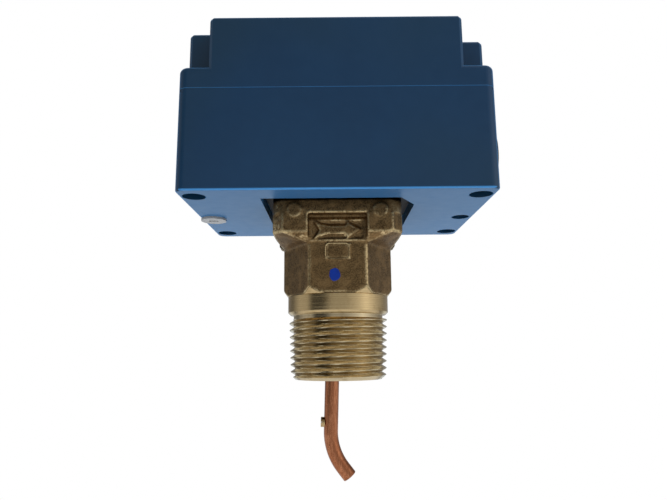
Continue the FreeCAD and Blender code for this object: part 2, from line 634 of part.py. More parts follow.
def cover_gasket():
    body = new_body("cover_gasket")
    pad(body, rim_groove(body), "gasket_height", reverse=True)
    return body


def raised_outline(arm_x):
    """The cover's raised part: full depth in the middle, with arms to the sides."""
    corners = [
        ("(%s - cover_bevel)" % POCKET_X, HALF_DEPTH),
        (POCKET_X, "(%s - cover_bevel)" % HALF_DEPTH), (POCKET_X, POCKET_Y),
        ("(%s - cover_bevel)" % arm_x, POCKET_Y), (arm_x, "(%s - cover_bevel)" % POCKET_Y)]
    points = []
    for side_x, side_y in CORNERS:
        quarter = [("%d * %s" % (side_x, x), "%d * %s" % (side_y, y)) for x, y in corners]
        points += quarter if side_x * side_y < 0 else quarter[::-1]
    return points


def top_cover():
    body = new_body("top_cover")
    case_block(body, RIM, "band_height")
    rim, pocket_floor, top = number(RIM), number(POCKET_FLOOR), number(COVER_TOP)
    round_edges(body, "cover_lip", lambda edge: at_level(edge, rim), kind="Chamfer")
    round_edges(body, "case_edge", lambda edge: at_level(edge, pocket_floor))

    arm_x = "(%s - arm_setback)" % HALF_WIDTH
    pad(body, outline(body, "XY_Plane", raised_outline(arm_x),
                      "%s - case_edge" % POCKET_FLOOR), "cover_rise + case_edge")
    pocket(body, rectangle(body, "XY_Plane", POCKET_X, "%s + cut_margin" % HALF_WIDTH,
                           "-%s - cut_margin" % HALF_DEPTH, "%s + cut_margin" % HALF_DEPTH,
                           COVER_TOP), "arm_drop")
    pocket_x, right_top = number(POCKET_X), number("%s - arm_drop" % COVER_TOP)
    round_edges(body, "cover_edge", lambda edge: at_level(edge, top)
                or (at_level(edge, right_top) and edge.BoundBox.XMax > pocket_x + 0.1))

    # Hollow: one wall thinner all round, lower over the dropped arm
    low_x, low_y = "(%s - wall)" % arm_x, "(%s - wall)" % HALF_DEPTH
    step_x, step_y = "(%s - wall)" % POCKET_X, "(%s - wall)" % POCKET_Y
    full = corner_steps(low_x, low_y, step_x, step_y)
    doc.recompute()
    pocket(body, outline(body, "XY_Plane", full, RIM),
           "band_height + cover_rise - arm_drop - wall", reverse=True)
    left = [(x, y) for x, y in full if not x.startswith(low_x)]
    pocket(body, outline(body, "XY_Plane", left, RIM), "band_height + cover_rise - wall",
           reverse=True)
    pocket(body, circles(body, "XY_Plane", cover_screw_centres(),
                         "cover_screw_radius + hole_slack", RIM), "band_height", reverse=True)
    pocket(body, circles(body, "XY_Plane", cover_screw_centres(),
                         "cover_screw_head + hole_slack", POCKET_FLOOR),
           "cover_screw_head_height")
    return body


def screw_group(name, centres, head, head_height, shank, length, seat):
    return fuse(name, *[screw(name, head, head_height, shank, length, x, y, seat)
                        for x, y in centres])


def cover_screws():
    return screw_group("cover_screw", cover_screw_centres(), "cover_screw_head",
                       "cover_screw_head_height", "cover_screw_radius",
                       "cover_screw_length",
                       "%s - cover_screw_head_height" % POCKET_FLOOR)


def body_screws():
    return screw_group("body_screw", body_screw_centres(), "body_screw_head",
                       "body_screw_head_height", "body_screw_radius",
                       "body_screw_length", PLATE_TOP)


def earth_clamp():
    level = "%s + earth_boss_rise" % CASE_FLOOR
    return cut("earth_clamp",
               box("clamp", "earth_clamp_size", "earth_clamp_size", "earth_clamp_thickness",
                   EARTH_X, EARTH_Y, level),
               cylinder("clamp_hole", "body_screw_radius + hole_slack",
                        "earth_clamp_thickness", EARTH_X, EARTH_Y, level))


def earth_screw():
    seat = "%s + earth_boss_rise + earth_clamp_thickness" % CASE_FLOOR
    return screw("earth_screw", "earth_screw_head", "body_screw_head_height",
                 "body_screw_radius", "earth_screw_length", EARTH_X, EARTH_Y, seat)


def grey_plug():
    x, y = "-" + SIDE_HOLE_X, "side_hole_y"
    head = "%s - plug_head_height" % CASE_BOTTOM
    return cut("grey_plug",
               fuse("plug_solid",
                    cylinder("plug_head", "plug_head_radius", "plug_head_height", x, y, head),
                    cylinder("plug_stem", "side_hole_radius - screw_slack",
                             "plug_stem_length", x, y, CASE_BOTTOM)),
               box("plug_slot", "plug_slot_length", "plug_slot_width", "plug_slot_depth",
                   x, y, head))


# ---------------------------------------------------------------- cable entry

def entry_bush():
    """Round-flanged bush with an open bore, put in from outside the right wall."""
    outside = "%s + entry_seal_thickness" % HALF_WIDTH
    inside = "%s - wall - locknut_thickness - entry_tail" % HALF_WIDTH
    stem_length = "(entry_seal_thickness + wall + locknut_thickness + entry_tail)"
    solid = fuse("bush_solid",
                 cylinder("bush_flange", "entry_flange_radius", "entry_flange_thickness",
                          outside, "entry_y", ENTRY_LEVEL, "X"),
                 cylinder("bush_stem", "entry_thread_radius", stem_length,
                          inside, "entry_y", ENTRY_LEVEL, "X"))
    bore = cylinder("bush_bore", "entry_bore", "%s + entry_flange_thickness" % stem_length,
                    inside, "entry_y", ENTRY_LEVEL, "X")
    return cut("entry_bush", solid, bore)


def entry_seal():
    ring = cylinder("entry_ring", "entry_flange_radius - gasket_margin",
                    "entry_seal_thickness", HALF_WIDTH, "entry_y", ENTRY_LEVEL, "X")
    hole = cylinder("entry_ring_hole", "entry_thread_radius + screw_slack",
                    "entry_seal_thickness", HALF_WIDTH, "entry_y", ENTRY_LEVEL, "X")
    return cut("entry_seal", ring, hole)


def entry_locknut():
    inside = "%s - wall - locknut_thickness" % HALF_WIDTH
    nut = hexagon("locknut", "locknut_flats", "locknut_thickness", inside, "entry_y",
                  ENTRY_LEVEL)
    hole = cylinder("locknut_hole", "entry_thread_radius + screw_slack",
                    "locknut_thickness", inside, "entry_y", ENTRY_LEVEL, "X")
    return cut("entry_locknut", nut, hole)


# ---------------------------------------------------------------- mounting plate and pivot

def mounting_plate():
    """Steel plate under the flange screws, with two ears for the pivot pin."""
    ear_height = "(%s + ear_top - %s)" % (PIVOT, PLATE_TOP)
    ear_y = "(ear_gap / 2 + bracket_thickness / 2)"
    plate = fuse("plate_solid",
                 box("plate", "2 * " + PLATE_X, "2 * plate_reach_y", "plate_thickness",
                     "0", "0", TRAY_TOP),
                 *[box("ear", "ear_width", "bracket_thickness", ear_height,
                       "0", "%d * %s" % (side, ear_y), PLATE_TOP) for side in (-1, 1)])
    holes = [cylinder("rod_hole", "plate_hole", "plate_thickness", z=TRAY_TOP),
             cylinder("pin_hole", "pin_radius + pin_slack", "ear_gap + 4 * bracket_thickness",
                      y="-ear_gap / 2 - 2 * bracket_thickness", z=PIVOT, axis="Y")]
    holes += [cylinder("screw_hole", "body_screw_radius + hole_slack", "plate_thickness",
                       x, y, TRAY_TOP) for x, y in body_screw_centres()]
    holes += [cylinder("screw_hole", "small_screw_radius + screw_slack", "plate_thickness",
                       x, y, TRAY_TOP) for x, y in bracket_screw_centres() + frame_screw_centres()]
    return cut("mounting_plate", plate, *holes)


def pivot_pin():
    reach = "(ear_gap / 2 + bracket_thickness + pin_overhang)"
    pin = cylinder("pin", "pin_radius", "2 * " + reach, y="-" + reach, z=PIVOT,
                   axis="Y")
    grooves = []
    for start in clip_starts():
        grooves.append(cut(
            "pin_groove",
            cylinder("groove_out", "pin_radius + cut_margin", "clip_thickness", y=start,
                     z=PIVOT, axis="Y"),
            cylinder("groove_in", "pin_radius - clip_groove", "clip_thickness", y=start,
                     z=PIVOT, axis="Y")))
    return cut("pivot_pin", pin, *grooves)


def clip_starts():
    """Where each clip begins along Y, just outside the ears."""
    face = "(ear_gap / 2 + bracket_thickness + screw_slack)"
    return ["-%s - clip_thickness" % face, face]


def pin_clips():
    clips = []
    for start in clip_starts():
        middle = "(%s) + clip_thickness / 2" % start
        clips.append(cut(
            "pin_clip",
            cylinder("clip", "clip_radius", "clip_thickness", y=start, z=PIVOT,
                     axis="Y"),
            cylinder("clip_eye", "pin_radius - clip_groove + screw_slack", "clip_thickness",
                     y=start, z=PIVOT, axis="Y"),
            box("clip_mouth", "clip_gap", "clip_thickness", "clip_radius", "0", middle,
                PIVOT + " - clip_radius")))
    return fuse("pin_clips", *clips)


# ---------------------------------------------------------------- swinging arm
# These pieces are drawn with the pivot at their origin and hang straight down; the arm
# then leans towards the upstream side by arm_lean.

def lean(target):
    target.Placement.Rotation = FreeCAD.Rotation(FreeCAD.Vector(0, 1, 0), 1)
    target.setExpression("Placement.Rotation.Angle", cells("arm_lean"))
    target.setExpression("Placement.Base.z", cells(PIVOT))
    return target


def pivot_block():
    block = box("block", "block_width", "ear_gap - 2 * side_play", "block_head + block_foot",
                "0", "0", "-block_foot")
    holes = [cylinder("block_pin_hole", "pin_radius + pin_slack", "ear_gap", y="-ear_gap / 2",
                      axis="Y"),
             cylinder("block_rod_hole", "spigot_radius + screw_slack", "block_foot",
                      z="-block_foot")]
    holes += [cylinder("block_screw_hole", "lever_screw_radius + screw_slack",
                       "lever_screw_length - lever_thickness", "0", y,
                       "block_head - lever_screw_length + lever_thickness")
              for y in lever_screw_places()]
    return lean(cut("pivot_block", block, *holes))


def lever_screw_places():
    return ["-lever_screw_y", "lever_screw_y"]


def arm_rod():
    top = "(-block_foot)"
    slim = "tube_radius - tube_wall - screw_slack"
    rod = fuse("rod_solid",
               cylinder("rod_spigot", "spigot_radius", "spigot_length", z=top),
               cylinder("rod_upper", "rod_radius", "tube_top + %s" % top, z="-tube_top"),
               cylinder("rod_lower", slim, "rod_end - tube_top", z="-rod_end"))
    hole = cylinder("rod_screw_hole", "arm_screw_shank + screw_slack",
                    "arm_screw_length + arm_screw_seat + screw_slack", "-tube_radius",
                    "0", "-arm_screw_level", "X")
    return lean(cut("arm_rod", rod, hole))


def paddle_tube():
    """Copper tube: straight, then one long bend towards the flow's outlet side."""
    body = new_body("paddle_tube")
    path = new_sketch(body, "XZ_Plane", "0")
    top, knee = FreeCAD.Vector(0, -10, 0), FreeCAD.Vector(0, -40, 0)
    centre, up = FreeCAD.Vector(10, -40, 0), FreeCAD.Vector(0, 0, 1)
    arc = Part.ArcOfCircle(Part.Circle(centre, up, 10), math.pi, 1.2 * math.pi)
    tip = arc.EndPoint + FreeCAD.Vector(2, -3, 0)
    path.addGeometry(Part.LineSegment(top, knee))
    path.addGeometry(arc)
    path.addGeometry(Part.LineSegment(arc.EndPoint, tip))
    path.addConstraint(Sketcher.Constraint("Coincident", 1, 1, 0, 2))
    path.addConstraint(Sketcher.Constraint("Coincident", 2, 1, 1, 2))
    bend_x = "bend_radius * (1 - cos(bend_angle * 1deg))"
    bend_y = "-bend_start - bend_radius * sin(bend_angle * 1deg)"
    fix_point(path, 0, 1, "0", "-tube_top", top)
    fix_point(path, 0, 2, "0", "-bend_start", knee)
    fix_point(path, 1, 3, "bend_radius", "-bend_start", centre)
    fix_distance(path, "DistanceY", 1, 2, bend_y, arc.EndPoint[1])
    fix_point(path, 2, 2, bend_x + " + tube_tip * sin(bend_angle * 1deg)",
              bend_y + " - tube_tip * cos(bend_angle * 1deg)", tip)
    for kind, radius in (("AdditivePipe", "tube_radius"),
                         ("SubtractivePipe", "tube_radius - tube_wall")):
        section = circles(body, "XY_Plane", [("0", "0")], radius, "-tube_top")
        doc.recompute()
        sweep = body.newObject("PartDesign::" + kind, unique("paddle_tube_sweep"))
        sweep.Profile = section
        sweep.Spine = (path, ["Edge1", "Edge2", "Edge3"])
        doc.recompute()
    seat = "(tube_radius - arm_screw_seat)"
    pocket(body, circles(body, "YZ_Plane", [("0", "-arm_screw_level")],
                         "arm_screw_head + screw_slack", "-" + seat), "2 * tube_radius")
    pocket(body, circles(body, "YZ_Plane", [("0", "-arm_screw_level")],
                         "arm_screw_shank + screw_slack", "0"), "2 * tube_radius")
    return lean(body)


def tube_screw():
    """Brass screw through the upstream side of the tube into the rod."""
    seat = "(tube_radius - arm_screw_seat)"
    head_length = "(arm_screw_rise + arm_screw_seat)"
    head = "(-tube_radius - arm_screw_rise)"
    solid = fuse("tube_screw_solid",
                 cylinder("tube_screw_head", "arm_screw_head", head_length, head, "0",
                          "-arm_screw_level", "X"),
                 cylinder("tube_screw_shank", "arm_screw_shank", "arm_screw_length",
                          "-" + seat, "0", "-arm_screw_level", "X"))
    slot = box("tube_screw_slot", "slot_width", "3 * arm_screw_head", "slot_width / 2",
               head, "0", "-arm_screw_level - slot_width / 4")
    return lean(cut("tube_screw", solid, slot))


def lever_plate():
    """Bent steel lever: an upright blade for the switch, a flat arm for the spring."""
    body = new_body("lever_plate")
    base = "block_head"
    back = "(-block_width / 2 - lever_thickness)"
    pad(body, outline(body, "XZ_Plane", [
        (back, base), (LEVER_REACH, base), (LEVER_REACH, base + " + lever_thickness"),
        (back + " + lever_thickness", base + " + lever_thickness"),
        (back + " + lever_thickness", "lever_rise"), (back, "lever_rise")]),
        "lever_width", symmetric=True)
    pad(body, circles(body, "XY_Plane", [(RANGE_X, "0")], "button_radius",
                      base + " + lever_thickness"), "button_height")
    pocket(body, circles(body, "XY_Plane", [("0", y) for y in lever_screw_places()],
                         "lever_screw_radius + hole_slack", base), "lever_thickness",
           reverse=True)
    return lean(body)


def lever_screws():
    seat = "block_head + lever_thickness"
    return lean(screw_group("lever_screw", [("0", y) for y in lever_screw_places()],
                            "lever_screw_head", "lever_screw_head_height",
                            "lever_screw_radius", "lever_screw_length", seat))


# ---------------------------------------------------------------- snap switch

def switch_case():
    body = new_body("switch_case")
    pad(body, rectangle(body, "XY_Plane", "-" + SWITCH_BACK, "-switch_front", "-" + SWITCH_END,
                        SWITCH_END, SWITCH_BOTTOM), "switch_thickness")
    round_edges(body, "switch_edge", is_upright)
    pocket(body, circles(body, "XY_Plane", switch_screw_centres(),
                         "cover_screw_radius + hole_slack", SWITCH_TOP), "switch_thickness")
    pocket(body, circles(body, "YZ_Plane", [("0", SWITCH_LEVEL)],
                         "plunger_radius + pin_slack", "-switch_front"),
           "plunger_stem + plunger_travel_room - (switch_front - %s)" % PLUNGER_CAP_BACK)
    return body


def switch_screw_centres():
    return [("-switch_screw_x", "-switch_screw_y"), ("-switch_screw_x", "switch_screw_y")]


# The plunger's tip stands one small gap from the leaning lever blade
BLADE_FACE = ("((block_width / 2 + lever_thickness) / cos(arm_lean * 1deg)"
              " - switch_level * tan(arm_lean * 1deg))")
PLUNGER_TIP = "(%s + plunger_gap)" % BLADE_FACE
PLUNGER_CAP_BACK = "(%s + plunger_cap)" % PLUNGER_TIP


def switch_plunger():
    return fuse("switch_plunger",
                cylinder("plunger_cap", "plunger_cap_radius", "plunger_cap",
                         "-" + PLUNGER_CAP_BACK, "0", SWITCH_LEVEL, "X"),
                cylinder("plunger_stem", "plunger_radius", "plunger_stem",
                         "-%s - plunger_stem" % PLUNGER_CAP_BACK, "0", SWITCH_LEVEL, "X"))


def switch_screws():
    return screw_group("switch_screw", switch_screw_centres(), "body_screw_head",
                       "body_screw_head_height", "cover_screw_radius",
                       "switch_screw_length", SWITCH_TOP)


def terminal_places():
    return ["%d * %s" % (place_, TERMINAL_PITCH) for place_ in (-1, 0, 1)]


def switch_terminals():
    plates = [box("terminal", "terminal_thickness", "terminal_width", "terminal_length",
                  "-%s - terminal_thickness / 2" % SWITCH_BACK, y,
                  SWITCH_LEVEL + " - terminal_length / 2") for y in terminal_places()]
    return fuse("switch_terminals", *plates)


def terminal_screws():
    face = "(-%s - terminal_thickness)" % SWITCH_BACK
    screws = []
    for y in terminal_places():
        head = face + " - terminal_screw_height"
        screws.append(cut(
            "terminal_screw",
            cylinder("terminal_head", "terminal_screw_head", "terminal_screw_height",
                     head, y, SWITCH_LEVEL, "X"),
            box("terminal_slot", "slot_width", "2 * terminal_screw_head", "slot_width",
                head, y, SWITCH_LEVEL + " - slot_width / 2")))
    return fuse("terminal_screws", *screws)


def switch_bracket():
    """Folded steel bracket: a foot on the mounting plate, a web and a table."""
    body = new_body("switch_bracket")
    web, table = "-" + BRACKET_X, "(%s - bracket_thickness)" % SWITCH_BOTTOM
    foot = "(%s + bracket_thickness)" % PLATE_TOP
    pad(body, outline(body, "XZ_Plane", [
        (web, PLATE_TOP), (web + " + bracket_foot", PLATE_TOP), (web + " + bracket_foot", foot),
        (web + " + bracket_thickness", foot), (web + " + bracket_thickness", table),
        (web, table)]), "bracket_width", symmetric=True)
    pad(body, rectangle(body, "XY_Plane", "-" + SWITCH_BACK, "-switch_front", "-" + SWITCH_END,
                        SWITCH_END, table), "bracket_thickness")
    pocket(body, circles(body, "XY_Plane", switch_screw_centres(),
                         "cover_screw_radius + screw_slack", SWITCH_BOTTOM), "bracket_thickness")
    pocket(body, circles(body, "XY_Plane", bracket_screw_centres(),
                         "small_screw_radius + hole_slack", foot), "bracket_thickness")
    return body


def bracket_screw_centres():
    return [("-" + BRACKET_SCREW_X, "-bracket_screw_y"), ("-" + BRACKET_SCREW_X, "bracket_screw_y")]


def bracket_screws():
    return screw_group("bracket_screw", bracket_screw_centres(), "small_screw_head",
                       "small_screw_head_height", "small_screw_radius",
                       "plate_thickness + bracket_thickness",
                       "%s + bracket_thickness" % PLATE_TOP)


# ---------------------------------------------------------------- range adjustment

def frame_screw_centres():
    return [("%s %s frame_screw_pitch / 2" % (RANGE_X, sign), "0") for sign in "-+"]


def spring_frame():
    """Closed steel frame that straddles the lever and holds the range screw."""
    outer_width = "(frame_inner_width + 2 * frame_thickness)"
    inner_height = "frame_height - 2 * frame_thickness"
    frame = box("frame", "frame_length", outer_width, "frame_height", RANGE_X, "0", PLATE_TOP)
    holes = [box("frame_window", "frame_length", "frame_inner_width", inner_height,
                 RANGE_X, "0", "%s + frame_thickness" % PLATE_TOP),
             cylinder("frame_screw_hole", "range_screw_radius + pin_slack", "frame_thickness",
                      RANGE_X, "0", "%s - frame_thickness" % FRAME_TOP)]
    holes += [cylinder("frame_foot_hole", "small_screw_radius + hole_slack", "frame_thickness",
                       x, y, PLATE_TOP) for x, y in frame_screw_centres()]
    return cut("spring_frame", frame, *holes)


def frame_screws():
    return screw_group("frame_screw", frame_screw_centres(), "small_screw_head",
                       "small_screw_head_height", "small_screw_radius",
                       "plate_thickness + frame_thickness", "%s + frame_thickness" % PLATE_TOP)


def range_screw():
    """Adjusting screw held in the frame by its head and a collar."""
    head = "(%s + range_end_play)" % FRAME_TOP
    collar = "(%s - frame_thickness - range_end_play - range_collar_height)" % FRAME_TOP
    low = "(%s - range_screw_drop)" % FRAME_TOP
    solid = fuse("range_screw_solid",
                 cylinder("range_head", "range_head_radius", "range_head_height",
                          RANGE_X, "0", head),
                 cylinder("range_collar", "range_collar_radius", "range_collar_height",
                          RANGE_X, "0", collar),
                 cylinder("range_shank", "range_screw_radius", "%s - %s" % (head, low),
                          RANGE_X, "0", low))
    slot = box("range_slot", "2 * range_head_radius", "slot_width", "slot_depth",
               RANGE_X, "0", "%s + range_head_height - slot_depth" % head)
    return cut("range_screw", solid, slot)


def spring_seat():
    """Tapped seat that slides between the frame's sides and can't turn."""
    return cut("spring_seat",
               box("seat", "seat_length", "frame_inner_width - 2 * side_play",
                   "seat_thickness", RANGE_X, "0", SEAT_BOTTOM),
               cylinder("seat_hole", "range_screw_radius + pin_slack", "seat_thickness",
                        RANGE_X, "0", SEAT_BOTTOM))


def range_spring():
    """Open compression spring between the lever's flat arm and the seat."""
    body = new_body("range_spring")
    button_top = "(block_head + lever_thickness)"
    low = ("(%s + %s / cos(arm_lean * 1deg) - (%s - spring_radius - spring_wire)"
           " * tan(arm_lean * 1deg) + spring_clearance)" % (PIVOT, button_top, RANGE_X))
    height = "(%s - %s - 2 * spring_wire - spring_clearance)" % (SEAT_BOTTOM, low)
    section = circles(body, "XZ_Plane", [("spring_radius", "0")], "spring_wire")
    doc.recompute()
    helix = body.newObject("PartDesign::AdditiveHelix", "spring_coil")
    helix.Profile = section
    helix.ReferenceAxis = (datum(body, "Z_Axis"), [""])
    helix.Mode = 2
    bind(helix, Height=height, Turns="spring_turns")
    doc.recompute()
    place(body, RANGE_X, "0", "%s + spring_wire" % low)
    return body


# ---------------------------------------------------------------- assembly

NODES = {
    "brass_body": brass_body, "seal_diaphragm": seal_diaphragm, "clamp_ring": clamp_ring,
    "flange_gasket": flange_gasket, "base_casing": base_casing, "top_cover": top_cover,
    "cover_gasket": cover_gasket, "cover_screws": cover_screws, "body_screws": body_screws,
    "grey_plug": grey_plug, "entry_bush": entry_bush, "entry_seal": entry_seal,
    "entry_locknut": entry_locknut, "earth_clamp": earth_clamp, "earth_screw": earth_screw,
    "mounting_plate": mounting_plate, "pivot_pin": pivot_pin, "pin_clips": pin_clips,
    "pivot_block": pivot_block, "arm_rod": arm_rod, "paddle_tube": paddle_tube,
    "tube_screw": tube_screw, "lever_plate": lever_plate, "lever_screws": lever_screws,
    "switch_bracket": switch_bracket, "bracket_screws": bracket_screws,
    "switch_case": switch_case, "switch_plunger": switch_plunger,
    "switch_screws": switch_screws, "switch_terminals": switch_terminals,
    "terminal_screws": terminal_screws, "spring_frame": spring_frame,
    "frame_screws": frame_screws, "range_screw": range_screw, "spring_seat": spring_seat,
    "range_spring": range_spring,
}

pieces = {}
for node, make in NODES.items():
    pieces[node] = make()
    pieces[node].Label = node
doc.recompute()

for item in doc.Objects:
    if "Invalid" in item.State or "Error" in item.State:
        raise RuntimeError("failed object: %s %s" % (item.Name, item.State))
for node, piece in pieces.items():
    if piece.Shape.isNull() or not piece.Shape.isValid() or not piece.Shape.Solids:
        raise RuntimeError("bad shape: " + node)

os.makedirs("parts", exist_ok=True)
for node, piece in pieces.items():
    piece.Shape.exportStep("parts/%s.step" % node)
    extent = piece.Shape.BoundBox
    print("%-17s %2d solid(s) %10.1f mm3  Z %7.2f .. %7.2f" % (
        node, len(piece.Shape.Solids), piece.Shape.Volume, extent.ZMin, extent.ZMax))
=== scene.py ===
import math
import bmesh
import bpy
from bpy.props import FloatProperty, FloatVectorProperty, IntProperty, PointerProperty
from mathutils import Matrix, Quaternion, Vector, noise


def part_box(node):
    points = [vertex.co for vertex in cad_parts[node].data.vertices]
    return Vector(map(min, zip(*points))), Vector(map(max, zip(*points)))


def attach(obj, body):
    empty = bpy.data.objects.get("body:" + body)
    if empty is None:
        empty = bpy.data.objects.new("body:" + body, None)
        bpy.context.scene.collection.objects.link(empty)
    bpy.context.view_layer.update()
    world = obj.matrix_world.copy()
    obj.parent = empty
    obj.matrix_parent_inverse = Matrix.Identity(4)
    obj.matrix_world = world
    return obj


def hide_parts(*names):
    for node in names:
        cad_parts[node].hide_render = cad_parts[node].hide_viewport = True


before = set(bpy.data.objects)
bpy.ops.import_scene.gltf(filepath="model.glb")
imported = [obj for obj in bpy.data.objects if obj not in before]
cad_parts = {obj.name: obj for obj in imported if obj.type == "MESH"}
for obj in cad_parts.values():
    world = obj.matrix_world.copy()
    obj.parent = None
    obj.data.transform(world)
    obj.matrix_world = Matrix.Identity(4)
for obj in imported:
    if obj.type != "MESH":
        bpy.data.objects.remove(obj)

bl_info = {
    "name": "Paddle Flow Switch",
    "version": (1, 0, 0),
    "blender": (4, 5, 0),
    "location": "3D View > Sidebar > Flow Switch",
    "description": "Dresses the packed flow switch: enamelled housing, cast and turned brass, "
                   "copper paddle tube, fasteners and the stage",
    "category": "Object",
}

MM = 0.001
ROUND = 2 * math.pi
CLEAR = 0.01 * MM
GRAINS_PER_METRE = 900.0


# ---- settings

def size(name, description, default, low=0.0):
    return FloatProperty(name=name, description=description, default=default, min=low,
                         subtype="DISTANCE", unit="LENGTH", precision=5)


def tint(name, description, default):
    return FloatVectorProperty(name=name, description=description, default=default, size=3,
                               min=0.0, max=1.0, subtype="COLOR")


def angle(name, description, degrees):
    return FloatProperty(name=name, description=description, default=math.radians(degrees),
                         subtype="ANGLE")


def power(name, description, default):
    return FloatProperty(name=name, description=description, default=default, min=0.0,
                         unit="POWER")


class FlowSwitchFinish(bpy.types.PropertyGroup):
    """Colours and finishes of the flow switch."""
    enamel: tint("Enamel", "Colour of the housing's blue enamel", (0.0028, 0.0340, 0.0880))
    enamel_gloss: FloatProperty(name="Enamel roughness", description="Roughness of the enamel",
                                default=0.33, min=0.0, max=1.0, subtype="FACTOR")
    cast_brass: tint("Cast brass", "Colour of the brass as cast", (0.285, 0.178, 0.077))
    turned_brass: tint("Turned brass", "Colour of machined brass", (0.730, 0.550, 0.290))
    copper: tint("Copper", "Colour of the drawn copper tube", (0.600, 0.240, 0.115))
    paint: tint("Paint mark", "Colour of the inspection mark", (0.0008, 0.0260, 0.2500))
    plug: tint("Plug", "Colour of the moulded grey plug", (0.340, 0.348, 0.352))
    zinc: tint("Zinc plating", "Colour of zinc-plated steel", (0.560, 0.570, 0.580))
    steel: tint("Steel", "Colour of bare spring steel", (0.340, 0.340, 0.350))
    rubber: tint("Rubber", "Colour of gaskets and the seal", (0.012, 0.012, 0.013))
    nylon: tint("Black nylon", "Colour of the cable entry", (0.010, 0.011, 0.013))
    switch_case: tint("Switch case", "Colour of the snap switch's moulding", (0.070, 0.026, 0.014))
    button: tint("Switch button", "Colour of the snap switch's button", (0.780, 0.770, 0.740))


class FlowSwitchThread(bpy.types.PropertyGroup):
    """Pipe thread, collar and hexagon."""
    gauge_radius: size("Gauge radius", "Thread radius in the gauge plane", 16.62 * MM)
    gauge_length: size("Gauge length", "End face to the gauge plane", 10.4 * MM)
    pitch: size("Pitch", "Distance from crest to crest", 2.309 * MM)
    depth: size("Depth", "Height of the thread form", 1.48 * MM)
    taper: angle("Taper", "Half angle of the taper", 1.79)
    lead: size("Lead", "How far below the end face the groove starts", 1.0 * MM)
    chamfer: size("Chamfer", "Chamfer on the end face", 1.4 * MM)
    relief: size("Relief", "Length of the relief under the collar", 1.2 * MM)
    relief_radius: size("Relief radius", "Radius at the foot of the relief", 15.4 * MM)
    bore: size("Bore", "Radius of the bore", 12.0 * MM)
    length: size("Length", "End face to the collar", 21.4 * MM)
    collar_radius: size("Collar radius", "Radius of the turned collar", 17.3 * MM)
    collar_top: size("Collar top", "Height of the collar's upper end", 27.7 * MM)
    hexagon_corner: size("Hexagon corner", "Radius of the hexagon's corners",
                         16.5 * MM / math.cos(math.radians(30)))
    hexagon_bevel: size("Hexagon bevel", "Height of the turned bevel at the corners", 2.4 * MM)
    segments: IntProperty(name="Segments", description="Steps around the thread", default=192)
    rows: IntProperty(name="Rows", description="Rows in each pitch", default=14)


class FlowSwitchCasting(bpy.types.PropertyGroup):
    """Brass casting and its raised marks."""
    grid: size("Grid", "Step of the surface grid", 0.36 * MM)
    softness: IntProperty(name="Softness", description="Smoothing passes on edges", default=7)
    grain: size("Grain", "Height of the cast skin's unevenness", 0.035 * MM)
    front: size("Front", "Distance of the hexagon's front from the axis", 16.5 * MM)
    flange_front: size("Flange front", "Distance of the flange's front from the axis",
                       19.5 * MM)
    mark_root: size("Mark root", "Depth that raised marks are sunk", 0.35 * MM)
    flange_width: size("Flange width", "Width of the flange", 42.8 * MM)
    lobe_width: size("Lobe width", "Width of each lobe", 11.8 * MM)
    lobe_corner: size("Lobe corner", "Cut across each lobe's corner", 3.4 * MM)
    lobe_bottom: size("Lobe bottom", "Height of the lobes' lower ends", 47.4 * MM)
    foot_level: size("Foot level", "Height where the feet meet the hexagon", 44.3 * MM)
    tablet_rise: size("Tablet rise", "Height of the tablet's rim", 0.48 * MM)
    tablet_width: size("Tablet width", "Width of the plain tablet", 8.2 * MM)
    tablet_height: size("Tablet height", "Height of the plain tablet", 5.5 * MM)
    tablet_corner: size("Tablet corner", "Radius of the tablet's corners", 1.5 * MM)
    tablet_level: size("Tablet level", "Height of the tablet's middle", 41.4 * MM)
    tablet_side: size("Tablet side", "Tablet's middle to the right of the axis", -0.15 * MM, -1.0)
    mark_across: size("Mark across", "Half the width of the paint mark", 1.85 * MM)
    mark_tall: size("Mark tall", "Half the height of the paint mark", 2.20 * MM)
    mark_side: size("Mark side", "Paint mark to the right of the axis", -1.1 * MM, -1.0)
    mark_level: size("Mark level", "Height of the paint mark's middle", 33.7 * MM)


class FlowSwitchTube(bpy.types.PropertyGroup):
    """Copper paddle tube, measured from the pivot down."""
    pivot: size("Pivot", "Height of the pivot", 71.5 * MM)
    lean: angle("Lean", "Lean of the arm towards the upstream side", 1.8)
    radius: size("Radius", "Outer radius", 2.4 * MM)
    wall: size("Wall", "Wall thickness", 0.7 * MM)
    top: size("Top", "Pivot to the tube's upper end", 51.5 * MM)
    bend_start: size("Bend start", "Pivot to the start of the bend", 88.5 * MM)
    bend_radius: size("Bend radius", "Radius of the bend's middle line", 18.0 * MM)
    bend: angle("Bend", "Angle of the bend", 40.0)
    tip: size("Tip", "Straight length after the bend", 3.8 * MM)


class FlowSwitchHousing(bpy.types.PropertyGroup):
    """Enamelled housing."""
    corner: size("Corner", "Radius of the upright edges", 3.0 * MM)
    bead: size("Bead", "Radius of the bead of enamel in the seam", 0.17 * MM)


class FlowSwitchStage(bpy.types.PropertyGroup):
    """Floor, light and camera."""
    floor_drop: size("Floor drop", "How far the floor lies under the thread's end", 118.1 * MM)
    key: power("Key lamp", "Power of the lamp on the right", 1.3)
    top: power("Top lamp", "Power of the lamp above", 1.6)
    camera: FloatVectorProperty(name="Camera", description="Place of the camera", size=3,
                                default=(-0.00139, -0.1954, 0.0099), subtype="TRANSLATION",
                                unit="LENGTH", precision=5)
    pitch: angle("Pitch", "How far the camera looks up", 10.1)
    roll: angle("Roll", "Turn of the camera about its axis", -0.5)
    focal: FloatProperty(name="Focal length", description="Lens on a 36 mm wide sensor",
                         default=30.1, unit="CAMERA")


# ---- node helpers

